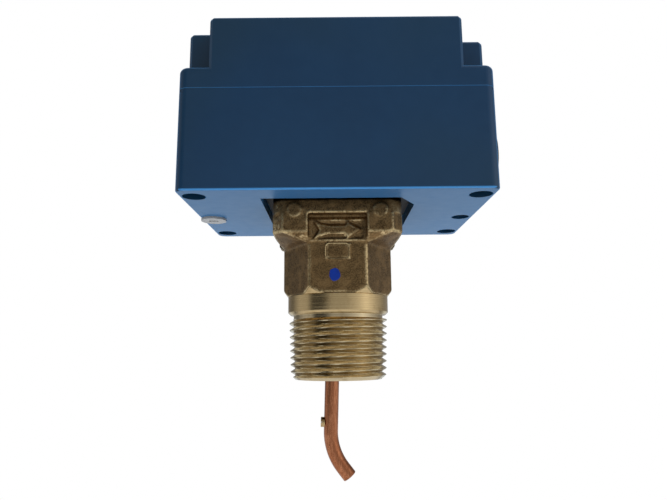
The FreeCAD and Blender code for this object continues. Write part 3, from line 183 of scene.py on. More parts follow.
SOCKETS = {"f": "NodeSocketFloat", "c": "NodeSocketColor", "v": "NodeSocketVector",
           "g": "NodeSocketGeometry", "i": "NodeSocketInt", "m": "NodeSocketMaterial"}


def feed(tree, socket, value):
    """Links an output to a socket, or sets the socket's own value."""
    if isinstance(value, bpy.types.NodeSocket):
        tree.links.new(value, socket)
    else:
        socket.default_value = (*value[:3], 1.0) if socket.type == "RGBA" else value


def put(tree, kind, inputs=None, **settings):
    """One node; inputs maps a socket's name or number to a value or to an output."""
    made = tree.nodes.new(kind)
    for name, value in settings.items():
        setattr(made, name, value)
    for key, value in (inputs or {}).items():
        feed(tree, made.inputs[key], value)
    return made


def calc(tree, operation, *values):
    """The output of a Math node."""
    return put(tree, "ShaderNodeMath", dict(enumerate(values)), operation=operation).outputs[0]


def plus(tree, *values):
    return calc(tree, "ADD", *values)


def minus(tree, *values):
    return calc(tree, "SUBTRACT", *values)


def times(tree, *values):
    return calc(tree, "MULTIPLY", *values)


def ramp(tree, value, low, high, to_low=0.0, to_high=1.0, smooth=True):
    """A value spread from one range to another."""
    return put(tree, "ShaderNodeMapRange",
               {"Value": value, "From Min": low, "From Max": high,
                "To Min": to_low, "To Max": to_high},
               interpolation_type="SMOOTHSTEP" if smooth else "LINEAR").outputs["Result"]


def scaled(tree, vector, factor):
    return put(tree, "ShaderNodeVectorMath", {0: vector, "Scale": factor},
               operation="SCALE").outputs[0]


def blend_colour(tree, factor, first, second):
    mix = put(tree, "ShaderNodeMix", data_type="RGBA")
    for number, value in ((0, factor), (6, first), (7, second)):
        feed(tree, mix.inputs[number], value)
    return mix.outputs[2]


def millimetres(tree, stretch=(1, 1, 1)):
    """Object coordinates in millimetres, drawn out along an axis where stretch is small."""
    place = put(tree, "ShaderNodeTexCoord").outputs["Object"]
    scale = tuple(value / MM for value in stretch)
    return put(tree, "ShaderNodeMapping", {"Vector": place, "Scale": scale}).outputs[0]


def separate(tree, vector):
    return put(tree, "ShaderNodeSeparateXYZ", {0: vector}).outputs


def noise_value(tree, vector, scale, detail=3.0, rough=0.5):
    return put(tree, "ShaderNodeTexNoise", {"Vector": vector, "Scale": scale, "Detail": detail,
                                            "Roughness": rough}).outputs["Fac"]


def open_group(name, kind, inputs, outputs):
    """An empty node group; inputs are (name, kind, default) and outputs (name, kind)."""
    group = bpy.data.node_groups.new(name, kind)
    for label, code, default in inputs:
        made = group.interface.new_socket(label, in_out="INPUT", socket_type=SOCKETS[code])
        if default is not None:
            made.default_value = default
    for label, code in outputs:
        group.interface.new_socket(label, in_out="OUTPUT", socket_type=SOCKETS[code])
    return group, group.nodes.new("NodeGroupInput").outputs, group.nodes.new("NodeGroupOutput")


def close_group(group, sink, **results):
    for name, value in results.items():
        group.links.new(value, sink.inputs[name])
    return group


# ---- shared surface effects

def mottle_group():
    """Slow drift of tone over a surface, with faint specks."""
    group, given, sink = open_group(
        "Surface Mottle", "ShaderNodeTree",
        [("Vector", "v", None), ("Colour", "c", (0.5, 0.5, 0.5, 1)), ("Patch", "f", 0.05),
         ("Speck", "f", 1.2), ("Amount", "f", 0.12), ("Roughness", "f", 0.4),
         ("Spread", "f", 0.08)],
        [("Colour", "c"), ("Roughness", "f"), ("Height", "f")])
    where = given["Vector"]
    patch = noise_value(group, where, given["Patch"], 2.0)
    speck = noise_value(group, where, given["Speck"], 2.0, 0.6)
    grit = minus(group, speck, 0.5)
    tone = plus(group, times(group, minus(group, patch, 0.5), 1.6), times(group, grit, 0.7))
    gain = plus(group, 1.0, times(group, tone, given["Amount"]))
    rough = plus(group, given["Roughness"], times(group, grit, given["Spread"]))
    return close_group(group, sink, Colour=scaled(group, given["Colour"], gain),
                       Roughness=rough, Height=speck)


def wear_highlight_shade_group():
    """Masks of exposed edges, broken up by noise, for rubbed wear and a painted highlight, and of
    hollows, for painted shade.
    """
    group, given, sink = open_group(
        "Edge Wear, Highlight and Shade", "ShaderNodeTree",
        [("Vector", "v", None), ("Start", "f", 0.52), ("End", "f", 0.60), ("Break", "f", 0.5)],
        [("Mask", "f"), ("Hollow", "f")])
    where, point = given["Vector"], put(group, "ShaderNodeNewGeometry").outputs["Pointiness"]
    fleck = noise_value(group, where, 1.4, 4.0, 0.65)
    patch = noise_value(group, where, 0.16, 2.0)
    mixed = plus(group, times(group, fleck, 0.5), times(group, patch, 0.5))
    broken = minus(group, 1.0, times(group, given["Break"], ramp(group, mixed, 0.56, 0.44)))
    edge = ramp(group, point, given["Start"], given["End"])
    return close_group(group, sink, Mask=times(group, edge, broken),
                       Hollow=ramp(group, point, 0.49, 0.42))


def cast_group():
    """The sandy skin of a casting: grains, shallow pits and slow waves."""
    group, given, sink = open_group(
        "Cast Skin", "ShaderNodeTree",
        [("Vector", "v", None), ("Grain", "f", 3.2), ("Pits", "f", 1.1), ("Wave", "f", 0.35)],
        [("Height", "f"), ("Grit", "f"), ("Patch", "f")])
    where = given["Vector"]
    grain = noise_value(group, where, given["Grain"], 5.0, 0.68)
    cell = put(group, "ShaderNodeTexVoronoi", {"Vector": where, "Scale": given["Pits"]},
               feature="SMOOTH_F1").outputs["Distance"]
    wave = noise_value(group, where, given["Wave"], 2.0)
    slow = plus(group, times(group, ramp(group, cell, 0.05, 0.42), 0.22), times(group, wave, 0.5))
    return close_group(group, sink, Height=plus(group, times(group, grain, 0.55), slow),
                       Grit=grain, Patch=wave)


def turned_group():
    """Fine rings left by a cutting tool around the Z axis."""
    group, given, sink = open_group(
        "Turned Rings", "ShaderNodeTree",
        [("Vector", "v", None), ("Feed", "f", 3.4), ("Waver", "f", 0.35)],
        [("Height", "f"), ("Tone", "f")])
    where = given["Vector"]
    sway = times(group, noise_value(group, where, 0.12, 2.0), given["Waver"])
    level = plus(group, times(group, separate(group, where)["Z"], given["Feed"]), sway)
    tone = put(group, "ShaderNodeTexNoise", {"W": level, "Scale": 1.0, "Detail": 4.0,
                                             "Roughness": 0.72},
               noise_dimensions="1D").outputs["Fac"]
    rings = calc(group, "SINE", times(group, level, ROUND))
    return close_group(group, sink, Height=plus(group, times(group, rings, 0.25), tone),
                       Tone=tone)


def streak_group():
    """Long fine streaks along one axis, as on drawn or rolled metal."""
    group, given, sink = open_group(
        "Drawn Streaks", "ShaderNodeTree",
        [("Vector", "v", None), ("Fine", "f", 6.0), ("Broad", "f", 0.8)],
        [("Height", "f"), ("Tone", "f")])
    where = given["Vector"]
    fine = noise_value(group, where, given["Fine"], 4.0, 0.6)
    broad = noise_value(group, where, given["Broad"], 2.0)
    return close_group(group, sink, Height=fine,
                       Tone=plus(group, times(group, fine, 0.45), times(group, broad, 0.55)))


EFFECTS = {"mottle": mottle_group, "wear": wear_highlight_shade_group, "cast": cast_group,
           "turned": turned_group, "streak": streak_group}
built = {}


def effect(tree, name, **inputs):
    """Places a shared effect in a material with its own values."""
    if name not in built:
        built[name] = EFFECTS[name]()
    made = tree.nodes.new("ShaderNodeGroup")
    made.node_tree = built[name]
    for key, value in inputs.items():
        feed(tree, made.inputs[key], value)
    return made.outputs


# ---- materials

def surface(name, metallic=0.0, **shader_values):
    """A material with its shader; returns the material, its tree and the shader."""
    material = bpy.data.materials.new(name)
    material.use_nodes = True
    tree = material.node_tree
    shader = tree.nodes["Principled BSDF"]
    shader.inputs["Metallic"].default_value = metallic
    for key, value in shader_values.items():
        shader.inputs[key.replace("_", " ")].default_value = value
    return material, tree, shader


def bump(tree, shader, height, distance):
    """Relief of a given height in millimetres."""
    relief = put(tree, "ShaderNodeBump", {"Height": height, "Distance": distance * MM})
    tree.links.new(relief.outputs[0], shader.inputs["Normal"])


def paint_of(tree, shader, colour, rough):
    tree.links.new(colour, shader.inputs["Base Color"])
    tree.links.new(rough, shader.inputs["Roughness"])


def tinted(colour, *gains):
    """A colour with each channel scaled, by one factor or by one for each."""
    gains = gains if len(gains) == 3 else gains * 3
    return tuple(min(1.0, value * gain) for value, gain in zip(colour, gains))


def lower_edge_highlight_mask(tree, place):
    """A mask of the casing's lower edge, where a painted highlight goes; place is in millimetres.
    """
    low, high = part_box("base_casing")
    axes, bottom = separate(tree, place), low[2] / MM
    width, full, clear = 0.6, 0.35, 0.75
    near = [ramp(tree, calc(tree, "ABSOLUTE", axes[axis]), reach / MM - width,
                 reach / MM - width / 2) for axis, reach in (("X", high[0]), ("Y", high[1]))]
    return times(tree, calc(tree, "MAXIMUM", *near),
                 ramp(tree, axes["Z"], bottom + clear, bottom + full))


def enamel(finish, name="blue_enamel", lift=1.0):
    # A lift above 1 paints the enamel lighter; the seam bead uses it as a painted highlight.
    paint = tinted(finish.enamel, lift)
    material, tree, shader = surface(name, IOR=1.5, Specular_IOR_Level=0.45)
    place = millimetres(tree)
    tone = effect(tree, "mottle", Vector=place, Colour=paint, Patch=0.03, Speck=0.25,
                  Amount=0.22, Roughness=finish.enamel_gloss, Spread=0.10)
    # A slow random drift towards greyer blue, which stands in for a reflected sheen: painted
    # reflection.
    drift = ramp(tree, noise_value(tree, place, 0.016, 1.0), 0.35, 0.65)
    colour = blend_colour(tree, times(tree, drift, 0.8), tone["Colour"],
                          tinted(paint, 2.2, 0.95, 0.72))
    # Painted reflection: the base colour turns pale blue where the enamel is seen edge-on, a sheen
    # of the bright surroundings painted in.
    painted_sheen_mask = put(tree, "ShaderNodeLayerWeight", {"Blend": 0.5}).outputs["Facing"]
    pale = tinted(paint, 8.5, 4.6, 4.2)
    colour = blend_colour(tree, ramp(tree, painted_sheen_mask, 0.45, 0.95), colour, pale)
    # Painted highlight along the casing's lower edge, paler still than the painted sheen.
    colour = blend_colour(tree, lower_edge_highlight_mask(tree, place), colour, tinted(pale, 1.3))
    paint_of(tree, shader, colour, tone["Roughness"])
    bump(tree, shader, noise_value(tree, place, 0.35, 2.0), 0.03)
    return material


def cast_brass(finish):
    material, tree, shader = surface("cast_brass_skin", metallic=1.0)
    place = millimetres(tree)
    skin = effect(tree, "cast", Vector=place, Grain=2.6, Pits=1.0, Wave=0.30)
    wear = effect(tree, "wear", Vector=place, Start=0.500, End=0.522, Break=0.85)
    dark, light = tinted(finish.cast_brass, 0.34), tinted(finish.cast_brass, 1.45)
    body = blend_colour(tree, ramp(tree, skin["Grit"], 0.38, 0.60), dark, finish.cast_brass)
    body = blend_colour(tree, ramp(tree, skin["Patch"], 0.40, 0.70, 0.0, 0.5), body, light)
    # The edge mask is partly rubbed wear, partly a painted highlight: edges turn bright polished
    # brass.
    body = blend_colour(tree, times(tree, wear["Mask"], 0.95), body, finish.turned_brass)
    # Painted shade: hollows darken towards the dark cast colour.
    body = blend_colour(tree, times(tree, wear["Hollow"], 0.6), body, dark)
    # Painted shadow: the casting turns near-black towards its top, where it sits in the casing's
    # recess.
    level = separate(tree, place)["Z"]
    body = blend_colour(tree, ramp(tree, level, 57.3, 58.2), body, (0.004, 0.0035, 0.003))
    rough = minus(tree, ramp(tree, skin["Grit"], 0.3, 0.7, 0.58, 0.40),
                  times(tree, wear["Mask"], 0.26))
    paint_of(tree, shader, body, rough)
    bump(tree, shader, skin["Height"], 0.16)
    return material


def turned_brass(finish, name="turned_brass_face", feed=3.4, gains=(1.0, 1.0, 1.0)):
    bright = tinted(finish.turned_brass, *gains)
    dull = tinted(bright, 0.55, 0.48, 0.38)
    material, tree, shader = surface(name, metallic=1.0)
    place = millimetres(tree)
    rings = effect(tree, "turned", Vector=place, Feed=feed, Waver=0.5)
    stain = noise_value(tree, place, 0.25, 3.0, 0.6)
    wear = effect(tree, "wear", Vector=place, Start=0.51, End=0.58, Break=0.3)
    colour = blend_colour(tree, ramp(tree, rings["Tone"], 0.62, 0.36, 0.0, 0.45), bright, dull)
    colour = blend_colour(tree, ramp(tree, stain, 0.52, 0.74, 0.0, 0.5), colour, dull)
    # Painted shade: hollows darken towards the dull colour.
    colour = blend_colour(tree, times(tree, wear["Hollow"], 0.6), colour, dull)
    paint_of(tree, shader, colour, ramp(tree, rings["Tone"], 0.35, 0.65, 0.22, 0.13))
    bump(tree, shader, rings["Height"], 0.012)
    return material


def copper(finish):
    material, tree, shader = surface("drawn_copper", metallic=1.0)
    spots = millimetres(tree)
    lines = effect(tree, "streak", Vector=millimetres(tree, stretch=(1.0, 1.0, 0.10)),
                   Fine=9.0, Broad=2.4)
    tarnish = tinted(finish.copper, 0.62, 0.54, 0.50)
    patch = noise_value(tree, spots, 0.30, 4.0, 0.65)
    colour = blend_colour(tree, ramp(tree, lines["Tone"], 0.62, 0.42), finish.copper, tarnish)
    colour = blend_colour(tree, ramp(tree, patch, 0.50, 0.68, 0.0, 0.7), colour, tarnish)
    paint_of(tree, shader, colour, ramp(tree, lines["Tone"], 0.3, 0.7, 0.30, 0.20))
    nick = put(tree, "ShaderNodeTexVoronoi", {"Vector": spots, "Scale": 0.42},
               feature="F1").outputs["Distance"]
    bump(tree, shader, plus(tree, times(tree, lines["Height"], 0.35),
                            ramp(tree, nick, 0.04, 0.16)), 0.05)
    return material


def moulded(name, colour, rough, grain=4.0, depth=0.02):
    """A moulded plastic or rubber with a fine grain."""
    material, tree, shader = surface(name)
    tone = effect(tree, "mottle", Vector=millimetres(tree), Colour=colour, Patch=0.12,
                  Speck=grain, Amount=0.15, Roughness=rough, Spread=0.16)
    paint_of(tree, shader, tone["Colour"], tone["Roughness"])
    bump(tree, shader, tone["Height"], depth)
    return material


def plated(name, colour, rough=0.30, streak=(1.0, 0.12, 1.0)):
    """Rolled or drawn metal under a thin plating."""
    material, tree, shader = surface(name, metallic=1.0)
    lines = effect(tree, "streak", Vector=millimetres(tree, stretch=streak), Fine=3.0, Broad=0.4)
    tone = blend_colour(tree, ramp(tree, lines["Tone"], 0.62, 0.38), colour, tinted(colour, 0.62))
    paint_of(tree, shader, tone,
             ramp(tree, lines["Tone"], 0.3, 0.7, rough + 0.10, rough - 0.06))
    bump(tree, shader, lines["Height"], 0.02)
    return material


def ink(finish):
    material, tree, shader = surface("paint_mark", Specular_IOR_Level=0.2)
    tone = effect(tree, "mottle", Vector=millimetres(tree), Colour=finish.paint, Patch=0.5,
                  Speck=3.0, Amount=0.35, Roughness=0.45, Spread=0.2)
    paint_of(tree, shader, tone["Colour"], tone["Roughness"])
    bump(tree, shader, tone["Height"], 0.05)
    return material


# the record's slots, and three finishes of the pieces built here
MAKERS = {
    "housing_blue": enamel, "cast_brass": cast_brass, "turned_brass": turned_brass,
    "copper": copper,
    "zinc_steel": lambda finish: plated("zinc_plate", finish.zinc),
    "steel": lambda finish: plated("spring_steel", finish.steel, 0.26, (1.0, 1.0, 1.0)),
    "grey_plastic": lambda finish: moulded("grey_moulding", finish.plug, 0.48),
    "black_rubber": lambda finish: moulded("black_rubber_skin", finish.rubber, 0.62, 3.0, 0.03),
    "black_nylon": lambda finish: moulded("black_nylon_skin", finish.nylon, 0.38, 5.0, 0.015),
    "switch_brown": lambda finish: moulded("switch_moulding", finish.switch_case, 0.42),
    "white_nylon": lambda finish: moulded("button_moulding", finish.button, 0.40, 5.0, 0.01),
    # the bead's enamel is painted 3.4 times lighter, a painted highlight along the seam
    "paint": ink, "bead": lambda finish: enamel(finish, "enamel_bead_painted_highlight", 3.4),
    "thread_brass": lambda finish: turned_brass(finish, "thread_brass_face", 1.2,
                                                (1.02, 1.12, 1.36)),
}
made_finishes = {}


def finish_material(context, name):
    if name not in made_finishes:
        made_finishes[name] = MAKERS[name](context.scene.flow_switch_finish)
    return made_finishes[name]


# ---- mesh helpers

def add_object(name, mesh, *materials):
    piece = bpy.data.objects.new(name, mesh)
    bpy.context.scene.collection.objects.link(piece)
    mesh.materials.clear()
    for material in materials:
        mesh.materials.append(material)
    return piece


def settle(piece, body, slot, *nodes):
    """Rides a finished piece on its body and lets it stand for CAD nodes."""
    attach(piece, body)
    if nodes:
        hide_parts(*nodes)


def from_bmesh(name, work, *materials, smooth=35.0):
    """Turns a bmesh into an object with smooth faces and sharp edges past an angle."""
    mesh = bpy.data.meshes.new(name)
    bmesh.ops.recalc_face_normals(work, faces=work.faces)
    work.to_mesh(mesh)
    work.free()
    return shade(add_object(name, mesh, *materials), smooth)


def shade(piece, angle):
    mesh = piece.data
    mesh.polygons.foreach_set("use_smooth", [True] * len(mesh.polygons))
    mesh.set_sharp_from_angle(angle=math.radians(angle))
    return piece


def apply_modifiers(piece):
    """Replaces the mesh by its evaluated one and removes the modifiers."""
    depsgraph = bpy.context.evaluated_depsgraph_get()
    mesh = bpy.data.meshes.new_from_object(piece.evaluated_get(depsgraph))
    old, piece.data = piece.data, mesh
    piece.modifiers.clear()
    bpy.data.meshes.remove(old)
    mesh.name = piece.name


def modify(piece, kind, **values):
    modifier = piece.modifiers.new(kind.lower(), kind)
    for name, value in values.items():
        setattr(modifier, name, value)


def circle(steps):
    """The cosine and sine of evenly spaced turns."""
    return [(math.cos(ROUND * i / steps), math.sin(ROUND * i / steps)) for i in range(steps)]


def quarter_arcs(steps):
    """Four quarter turns, each point as its corner's two signs, a cosine and a sine."""
    for k, (first, second) in enumerate(((1, 1), (-1, 1), (-1, -1), (1, -1))):
        for i in range(steps + 1):
            angle = math.radians(90 * (k + i / steps))
            yield first, second, math.cos(angle), math.sin(angle)


def bridge(work, loops, closed=False):
    """Faces between neighbouring loops, and from the last to the first where closed."""
    for low, high in zip(loops, loops[1:] + (loops[:1] if closed else [])):
        for i in range(len(low)):
            j = (i + 1) % len(low)
            work.faces.new((low[i], low[j], high[j], high[i]))


def lathe(profile, segments):
    """A bmesh turned about the Z axis from a closed outline of (radius, height) pairs."""
    work = bmesh.new()
    bridge(work, [[work.verts.new((radius * x, radius * y, height))
                   for x, y in circle(segments)] for radius, height in profile], closed=True)
    return work


# ---- geometry nodes

def grow(name, group, material, values):
    """Runs a node group on an empty mesh and keeps the result as a plain mesh."""
    piece = add_object(name, bpy.data.meshes.new(name), material)
    modifier = piece.modifiers.new(group.name, "NODES")
    modifier.node_group = group
    for socket in group.interface.items_tree:
        if socket.in_out == "INPUT" and socket.name in values:
            modifier[socket.identifier] = values[socket.name]
    apply_modifiers(piece)
    work = bmesh.new()
    work.from_mesh(piece.data)
    bmesh.ops.recalc_face_normals(work, faces=work.faces)
    work.to_mesh(piece.data)
    work.free()
    return piece


def pick(group, test, yes, no):
    return put(group, "GeometryNodeSwitch", {0: test, 1: no, 2: yes},
               input_type="FLOAT").outputs[0]


def carry_on(group, kind, shape, **inputs):
    """The next Geometry node of a chain."""
    return put(group, "GeometryNode" + kind, {"Geometry": shape, **inputs}).outputs[0]


THREAD_SIZES = ("Gauge Radius", "Gauge Length", "Pitch", "Depth", "Taper", "Lead", "Chamfer",
                "Relief", "Relief Radius", "Bore", "Length")


def thread_group():
    """A tapered pipe thread: a grid wrapped round the axis, its radius set by a helix."""
    group, given, sink = open_group(
        "Pipe Thread", "GeometryNodeTree",
        [("Geometry", "g", None)] + [(name, "f", MM) for name in THREAD_SIZES]
        + [("Segments", "i", 192), ("Rows", "i", 130), ("Material", "m", None)],
        [("Geometry", "g")])
    rows, length = given["Rows"], given["Length"]
    grid = put(group, "GeometryNodeMeshGrid",
               {"Size X": 1.0, "Size Y": 1.0, "Vertices Y": rows,
                "Vertices X": plus(group, given["Segments"], 1.0)})
    place = separate(group, put(group, "GeometryNodeInputPosition").outputs[0])
    turn = plus(group, place["X"], 0.5)
    row = times(group, plus(group, place["Y"], 0.5), minus(group, rows, 1.0))
    # the first row and the last two lie on the bore, the others climb from face to collar
    span = minus(group, rows, 4.0)
    level = calc(group, "DIVIDE", minus(group, row, 1.0), span)
    level = calc(group, "MAXIMUM", calc(group, "MINIMUM", level, 1.0), 0.0)
    level = times(group, level, length)
    last = calc(group, "GREATER_THAN", row, plus(group, span, 2.5))
    inner = calc(group, "MAXIMUM", calc(group, "LESS_THAN", row, 0.5),
                 calc(group, "GREATER_THAN", row, plus(group, span, 1.5)))
    # the crest follows the taper, and the flanks follow the helix
    slope = calc(group, "TANGENT", given["Taper"])
    rise = times(group, minus(group, level, given["Gauge Length"]), slope)
    crest = plus(group, given["Gauge Radius"], rise)
    climbed = calc(group, "DIVIDE", plus(group, level, given["Lead"]), given["Pitch"])
    phase = calc(group, "FRACT", minus(group, climbed, turn))
    wave = calc(group, "ABSOLUTE", minus(group, times(group, phase, 2.0), 1.0))
    hollow = minus(group, 1.0, ramp(group, wave, 0.10, 0.88, smooth=False))
    radius = minus(group, crest, times(group, given["Depth"], hollow))
    # the chamfer on the end face and the relief under the collar cut it back
    face = minus(group, given["Gauge Radius"], times(group, given["Gauge Length"], slope))
    cut = plus(group, level, minus(group, face, given["Chamfer"]))
    radius = calc(group, "MINIMUM", radius, cut)
    past = calc(group, "GREATER_THAN", level, minus(group, length, given["Relief"]))
    radius = pick(group, past, calc(group, "MINIMUM", radius, given["Relief Radius"]), radius)
    radius = pick(group, inner, given["Bore"], radius)
    level = pick(group, last, 0.0, level)
    angle = times(group, turn, ROUND)
    spot = put(group, "ShaderNodeCombineXYZ",
               {0: times(group, radius, calc(group, "COSINE", angle)),
                1: times(group, radius, calc(group, "SINE", angle)), 2: level}).outputs[0]
    shape = carry_on(group, "SetPosition", grid.outputs["Mesh"], Position=spot)
    shape = carry_on(group, "MergeByDistance", shape, Distance=1e-6)
    shape = carry_on(group, "RealizeInstances", shape)
    shape = carry_on(group, "SetMaterial", shape, Material=given["Material"])
    return close_group(group, sink, Geometry=shape)


# ---- operators

class PieceOperator:
    """Shared settings of the operators: each builds its pieces or raises."""
    bl_options = {"REGISTER", "UNDO"}


class FLOW_OT_thread(PieceOperator, bpy.types.Operator):
    """Build the pipe thread and the turned collar above it"""
    bl_idname = "flow_switch.thread"
    bl_label = "Thread and Collar"

    def execute(self, context):
        form = context.scene.flow_switch_thread
        metal = finish_material(context, "thread_brass")
        rows = int(form.length / form.pitch * form.rows) + 4
        values = {name: getattr(form, name.lower().replace(" ", "_")) for name in THREAD_SIZES}
        values.update({"Segments": form.segments, "Rows": rows, "Material": metal})
        piece = grow("brass_thread", thread_group(), metal, values)
        settle(shade(piece, 32.0), "root", "turned_brass", "brass_body")
        collar = from_bmesh("brass_collar", lathe(self.collar(form), 256),
                            finish_material(context, "turned_brass"), smooth=28.0)
        settle(collar, "root", "turned_brass", "brass_body")
        return {"FINISHED"}

    def collar(self, form):
        """The collar's outline, with a small bevel below and a lap into the casting above."""
        low, high, radius = form.length, form.collar_top, form.collar_radius
        bevel, foot, edge, lap, steps = 0.9 * MM, 0.25 * MM, 0.12 * MM, 0.15 * MM, 10
        start = low + bevel + 0.1 * MM
        outline = [(form.bore, low), (form.relief_radius, low), (radius - bevel - foot, low),
                   (radius - bevel, low + 0.06 * MM), (radius - edge, low + bevel - 0.1 * MM)]
        outline += [(radius, start + (high - start) * i / steps) for i in range(steps + 1)]
        return outline + [(radius - lap, high + lap), (form.bore, high + lap)]


class FLOW_OT_casting(PieceOperator, bpy.types.Operator):
    """Build the cast brass hexagon with its flange, lobes and raised marks"""
    bl_idname = "flow_switch.casting"
    bl_label = "Brass Casting"

    def execute(self, context):
        form, thread = context.scene.flow_switch_casting, context.scene.flow_switch_thread
        work = bmesh.new()
        work.from_mesh(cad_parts["brass_body"].data)
        bmesh.ops.remove_doubles(work, verts=work.verts, dist=1e-7)
        cut = bmesh.ops.bisect_plane(work, geom=work.verts[:] + work.edges[:] + work.faces[:],
                                     plane_co=(0, 0, thread.collar_top + CLEAR),
                                     plane_no=(0, 0, 1), clear_inner=True)
        rim = [edge for edge in cut["geom_cut"] if isinstance(edge, bmesh.types.BMEdge)]
        bmesh.ops.triangle_fill(work, edges=rim, use_beauty=True)
        self.land_feet(work, form)
        piece = add_object("brass_casting", bpy.data.meshes.new("brass_casting"))
        work.to_mesh(piece.data)
        work.free()
        modify(piece, "REMESH", mode="VOXEL", voxel_size=form.grid)
        modify(piece, "SMOOTH", factor=0.5, iterations=form.softness)
        apply_modifiers(piece)
        for name in ("cast_brass", "turned_brass"):
            piece.data.materials.append(finish_material(context, name))
        self.turn_corners(piece.data, thread)
        normals = [vertex.normal.copy() for vertex in piece.data.vertices]
        for vertex, normal in zip(piece.data.vertices, normals):
            vertex.co += normal * form.grain * noise.noise(vertex.co * GRAINS_PER_METRE)
        settle(shade(piece, 60.0), "root", "cast_brass", "brass_body")
        self.tablet(form, finish_material(context, "cast_brass"))
        return {"FINISHED"}

    def turn_corners(self, mesh, thread):
        """Gives the turned bevels at the hexagon's corners the second material."""
        slope = thread.hexagon_bevel / (thread.hexagon_corner - thread.collar_radius)
        spare = 0.3 * MM
        for face in mesh.polygons:
            spot = face.center
            reach = math.hypot(spot.x, spot.y) - thread.collar_radius
            if reach > -spare and spot.z - thread.collar_top < slope * reach + spare:
                face.material_index = 1

    def land_feet(self, work, form):
        """Draws each lobe's foot in to one whole face of the hexagon."""
        lobe, foot, near = form.lobe_bottom, form.foot_level, 0.1 * MM
        wide, deep, cut = form.flange_width / 2, form.flange_front, form.lobe_corner
        inner_x, inner_y = wide - form.lobe_width, deep - form.lobe_width
        for vertex in work.verts:
            if (vertex.co.z < lobe - near and abs(vertex.co.x) >= inner_x
                    and self.beyond(vertex.co, form.front) > near):
                vertex.co.z = lobe
        side = form.front / math.cos(math.radians(30))
        top = [(inner_x, inner_y), (wide, inner_y), (wide, deep - cut), (wide - cut, deep),
               (inner_x, deep)]
        low = [(side / 2 + near, form.front - near), (side - 3 * near, 5 * near),
               (side / 2, form.front / 2)]
        for sx, sy in ((1, 1), (-1, 1), (-1, -1), (1, -1)):
            points = [(x, y, lobe + 5 * near) for x, y in top] + [(x, y, lobe) for x, y in top]
            points += [(x, y, foot) for x, y in low]
            corners = [work.verts.new((sx * x, sy * y, z)) for x, y, z in points]
            hull = bmesh.ops.convex_hull(work, input=corners)
            bmesh.ops.recalc_face_normals(work, faces=[
                item for item in hull["geom"] if isinstance(item, bmesh.types.BMFace)])

    def beyond(self, spot, apothem):
        """How far a point lies outside the hexagon."""
        return max(spot.x * math.cos(angle) + spot.y * math.sin(angle)
                   for angle in (math.radians(60 * k + 30) for k in range(6))) - apothem

    def tablet(self, form, metal):
        """The bare tablet: an oblong with a raised rim round a sunk field."""
        corner = form.tablet_corner
        wide, tall = form.tablet_width / 2 - corner, form.tablet_height / 2 - corner
        root, rise = form.mark_root, form.tablet_rise
        steps = ((0, -root), (0, 0.10 * MM), (0.10 * MM, rise), (0.30 * MM, rise),
                 (0.48 * MM, rise - 0.14 * MM), (0.66 * MM, rise - 0.16 * MM))
        work = bmesh.new()
        loops = [[work.verts.new((sx * wide + (corner - inset) * c + form.tablet_side,
                                  -form.front - lift,
                                  sz * tall + (corner - inset) * s + form.tablet_level))
                  for sx, sz, c, s in quarter_arcs(8)] for inset, lift in steps]
        work.faces.new(loops[0])
        bridge(work, loops)
        work.faces.new(loops[-1][::-1])
        settle(from_bmesh("tablet", work, metal, smooth=50.0), "root", "cast_brass",
               "brass_body")


class FLOW_OT_mark(PieceOperator, bpy.types.Operator):
    """Build the inspector's dab of blue paint on the hexagon"""
    bl_idname = "flow_switch.mark"
    bl_label = "Paint Mark"

    def execute(self, context):
        form = context.scene.flow_switch_casting
        rings, steps, thick, sunk, back = 8, 48, 0.10 * MM, 0.02 * MM, 0.06 * MM
        work = bmesh.new()
        loops = []
        for j in range(1, rings + 1):
            out = (j / rings) ** 0.8
            rise = thick * math.sqrt(max(0.0, 1.0 - out ** 3)) - sunk
            loop = []
            for x, z in circle(steps):
                reach = out * (1.0 + 0.10 * noise.noise(Vector((x * 1.3, z * 1.3, 4.2))))
                loop.append(work.verts.new((form.mark_across * reach * x, -rise,
                                            form.mark_tall * reach * z)))
            loops.append(loop)
        loops.append([work.verts.new((spot.co.x, back, spot.co.z)) for spot in loops[-1]])
        top = work.verts.new((0, sunk - thick, 0))
        for i in range(steps):
            work.faces.new((top, loops[0][i - 1], loops[0][i]))
        bridge(work, loops)
        work.faces.new(loops[-1][::-1])
        bmesh.ops.translate(work, verts=work.verts,
                            vec=(form.mark_side, -form.front, form.mark_level))
        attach(from_bmesh("paint_mark", work, finish_material(context, "paint"), smooth=60.0),
                "root")
        return {"FINISHED"}


class FLOW_OT_seam(PieceOperator, bpy.types.Operator):
    """Build the bead of enamel that fills the seam between casing and cover, in lighter enamel as
    a painted highlight line
    """
    bl_idname = "flow_switch.seam"
    bl_label = "Seam Bead"

    def execute(self, context):
        form = context.scene.flow_switch_housing
        bead, corner, steps = form.bead, form.corner, 12
        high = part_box("base_casing")[1]
        wide, deep = high[0] - corner, high[1] - corner
        work = bmesh.new()
        loops = []
        for sx, sy, x, y in quarter_arcs(steps):
            loop = []
            for out, up in circle(steps):
                reach = corner + bead * (out - 1.15)
                loop.append(work.verts.new((sx * wide + x * reach, sy * deep + y * reach,
                                            high[2] + bead * (0.8 + up))))
            loops.append(loop)
        bridge(work, loops, closed=True)
        piece = from_bmesh("seam_bead", work, finish_material(context, "bead"), smooth=80.0)
        settle(piece, "root", "housing_blue")
        return {"FINISHED"}


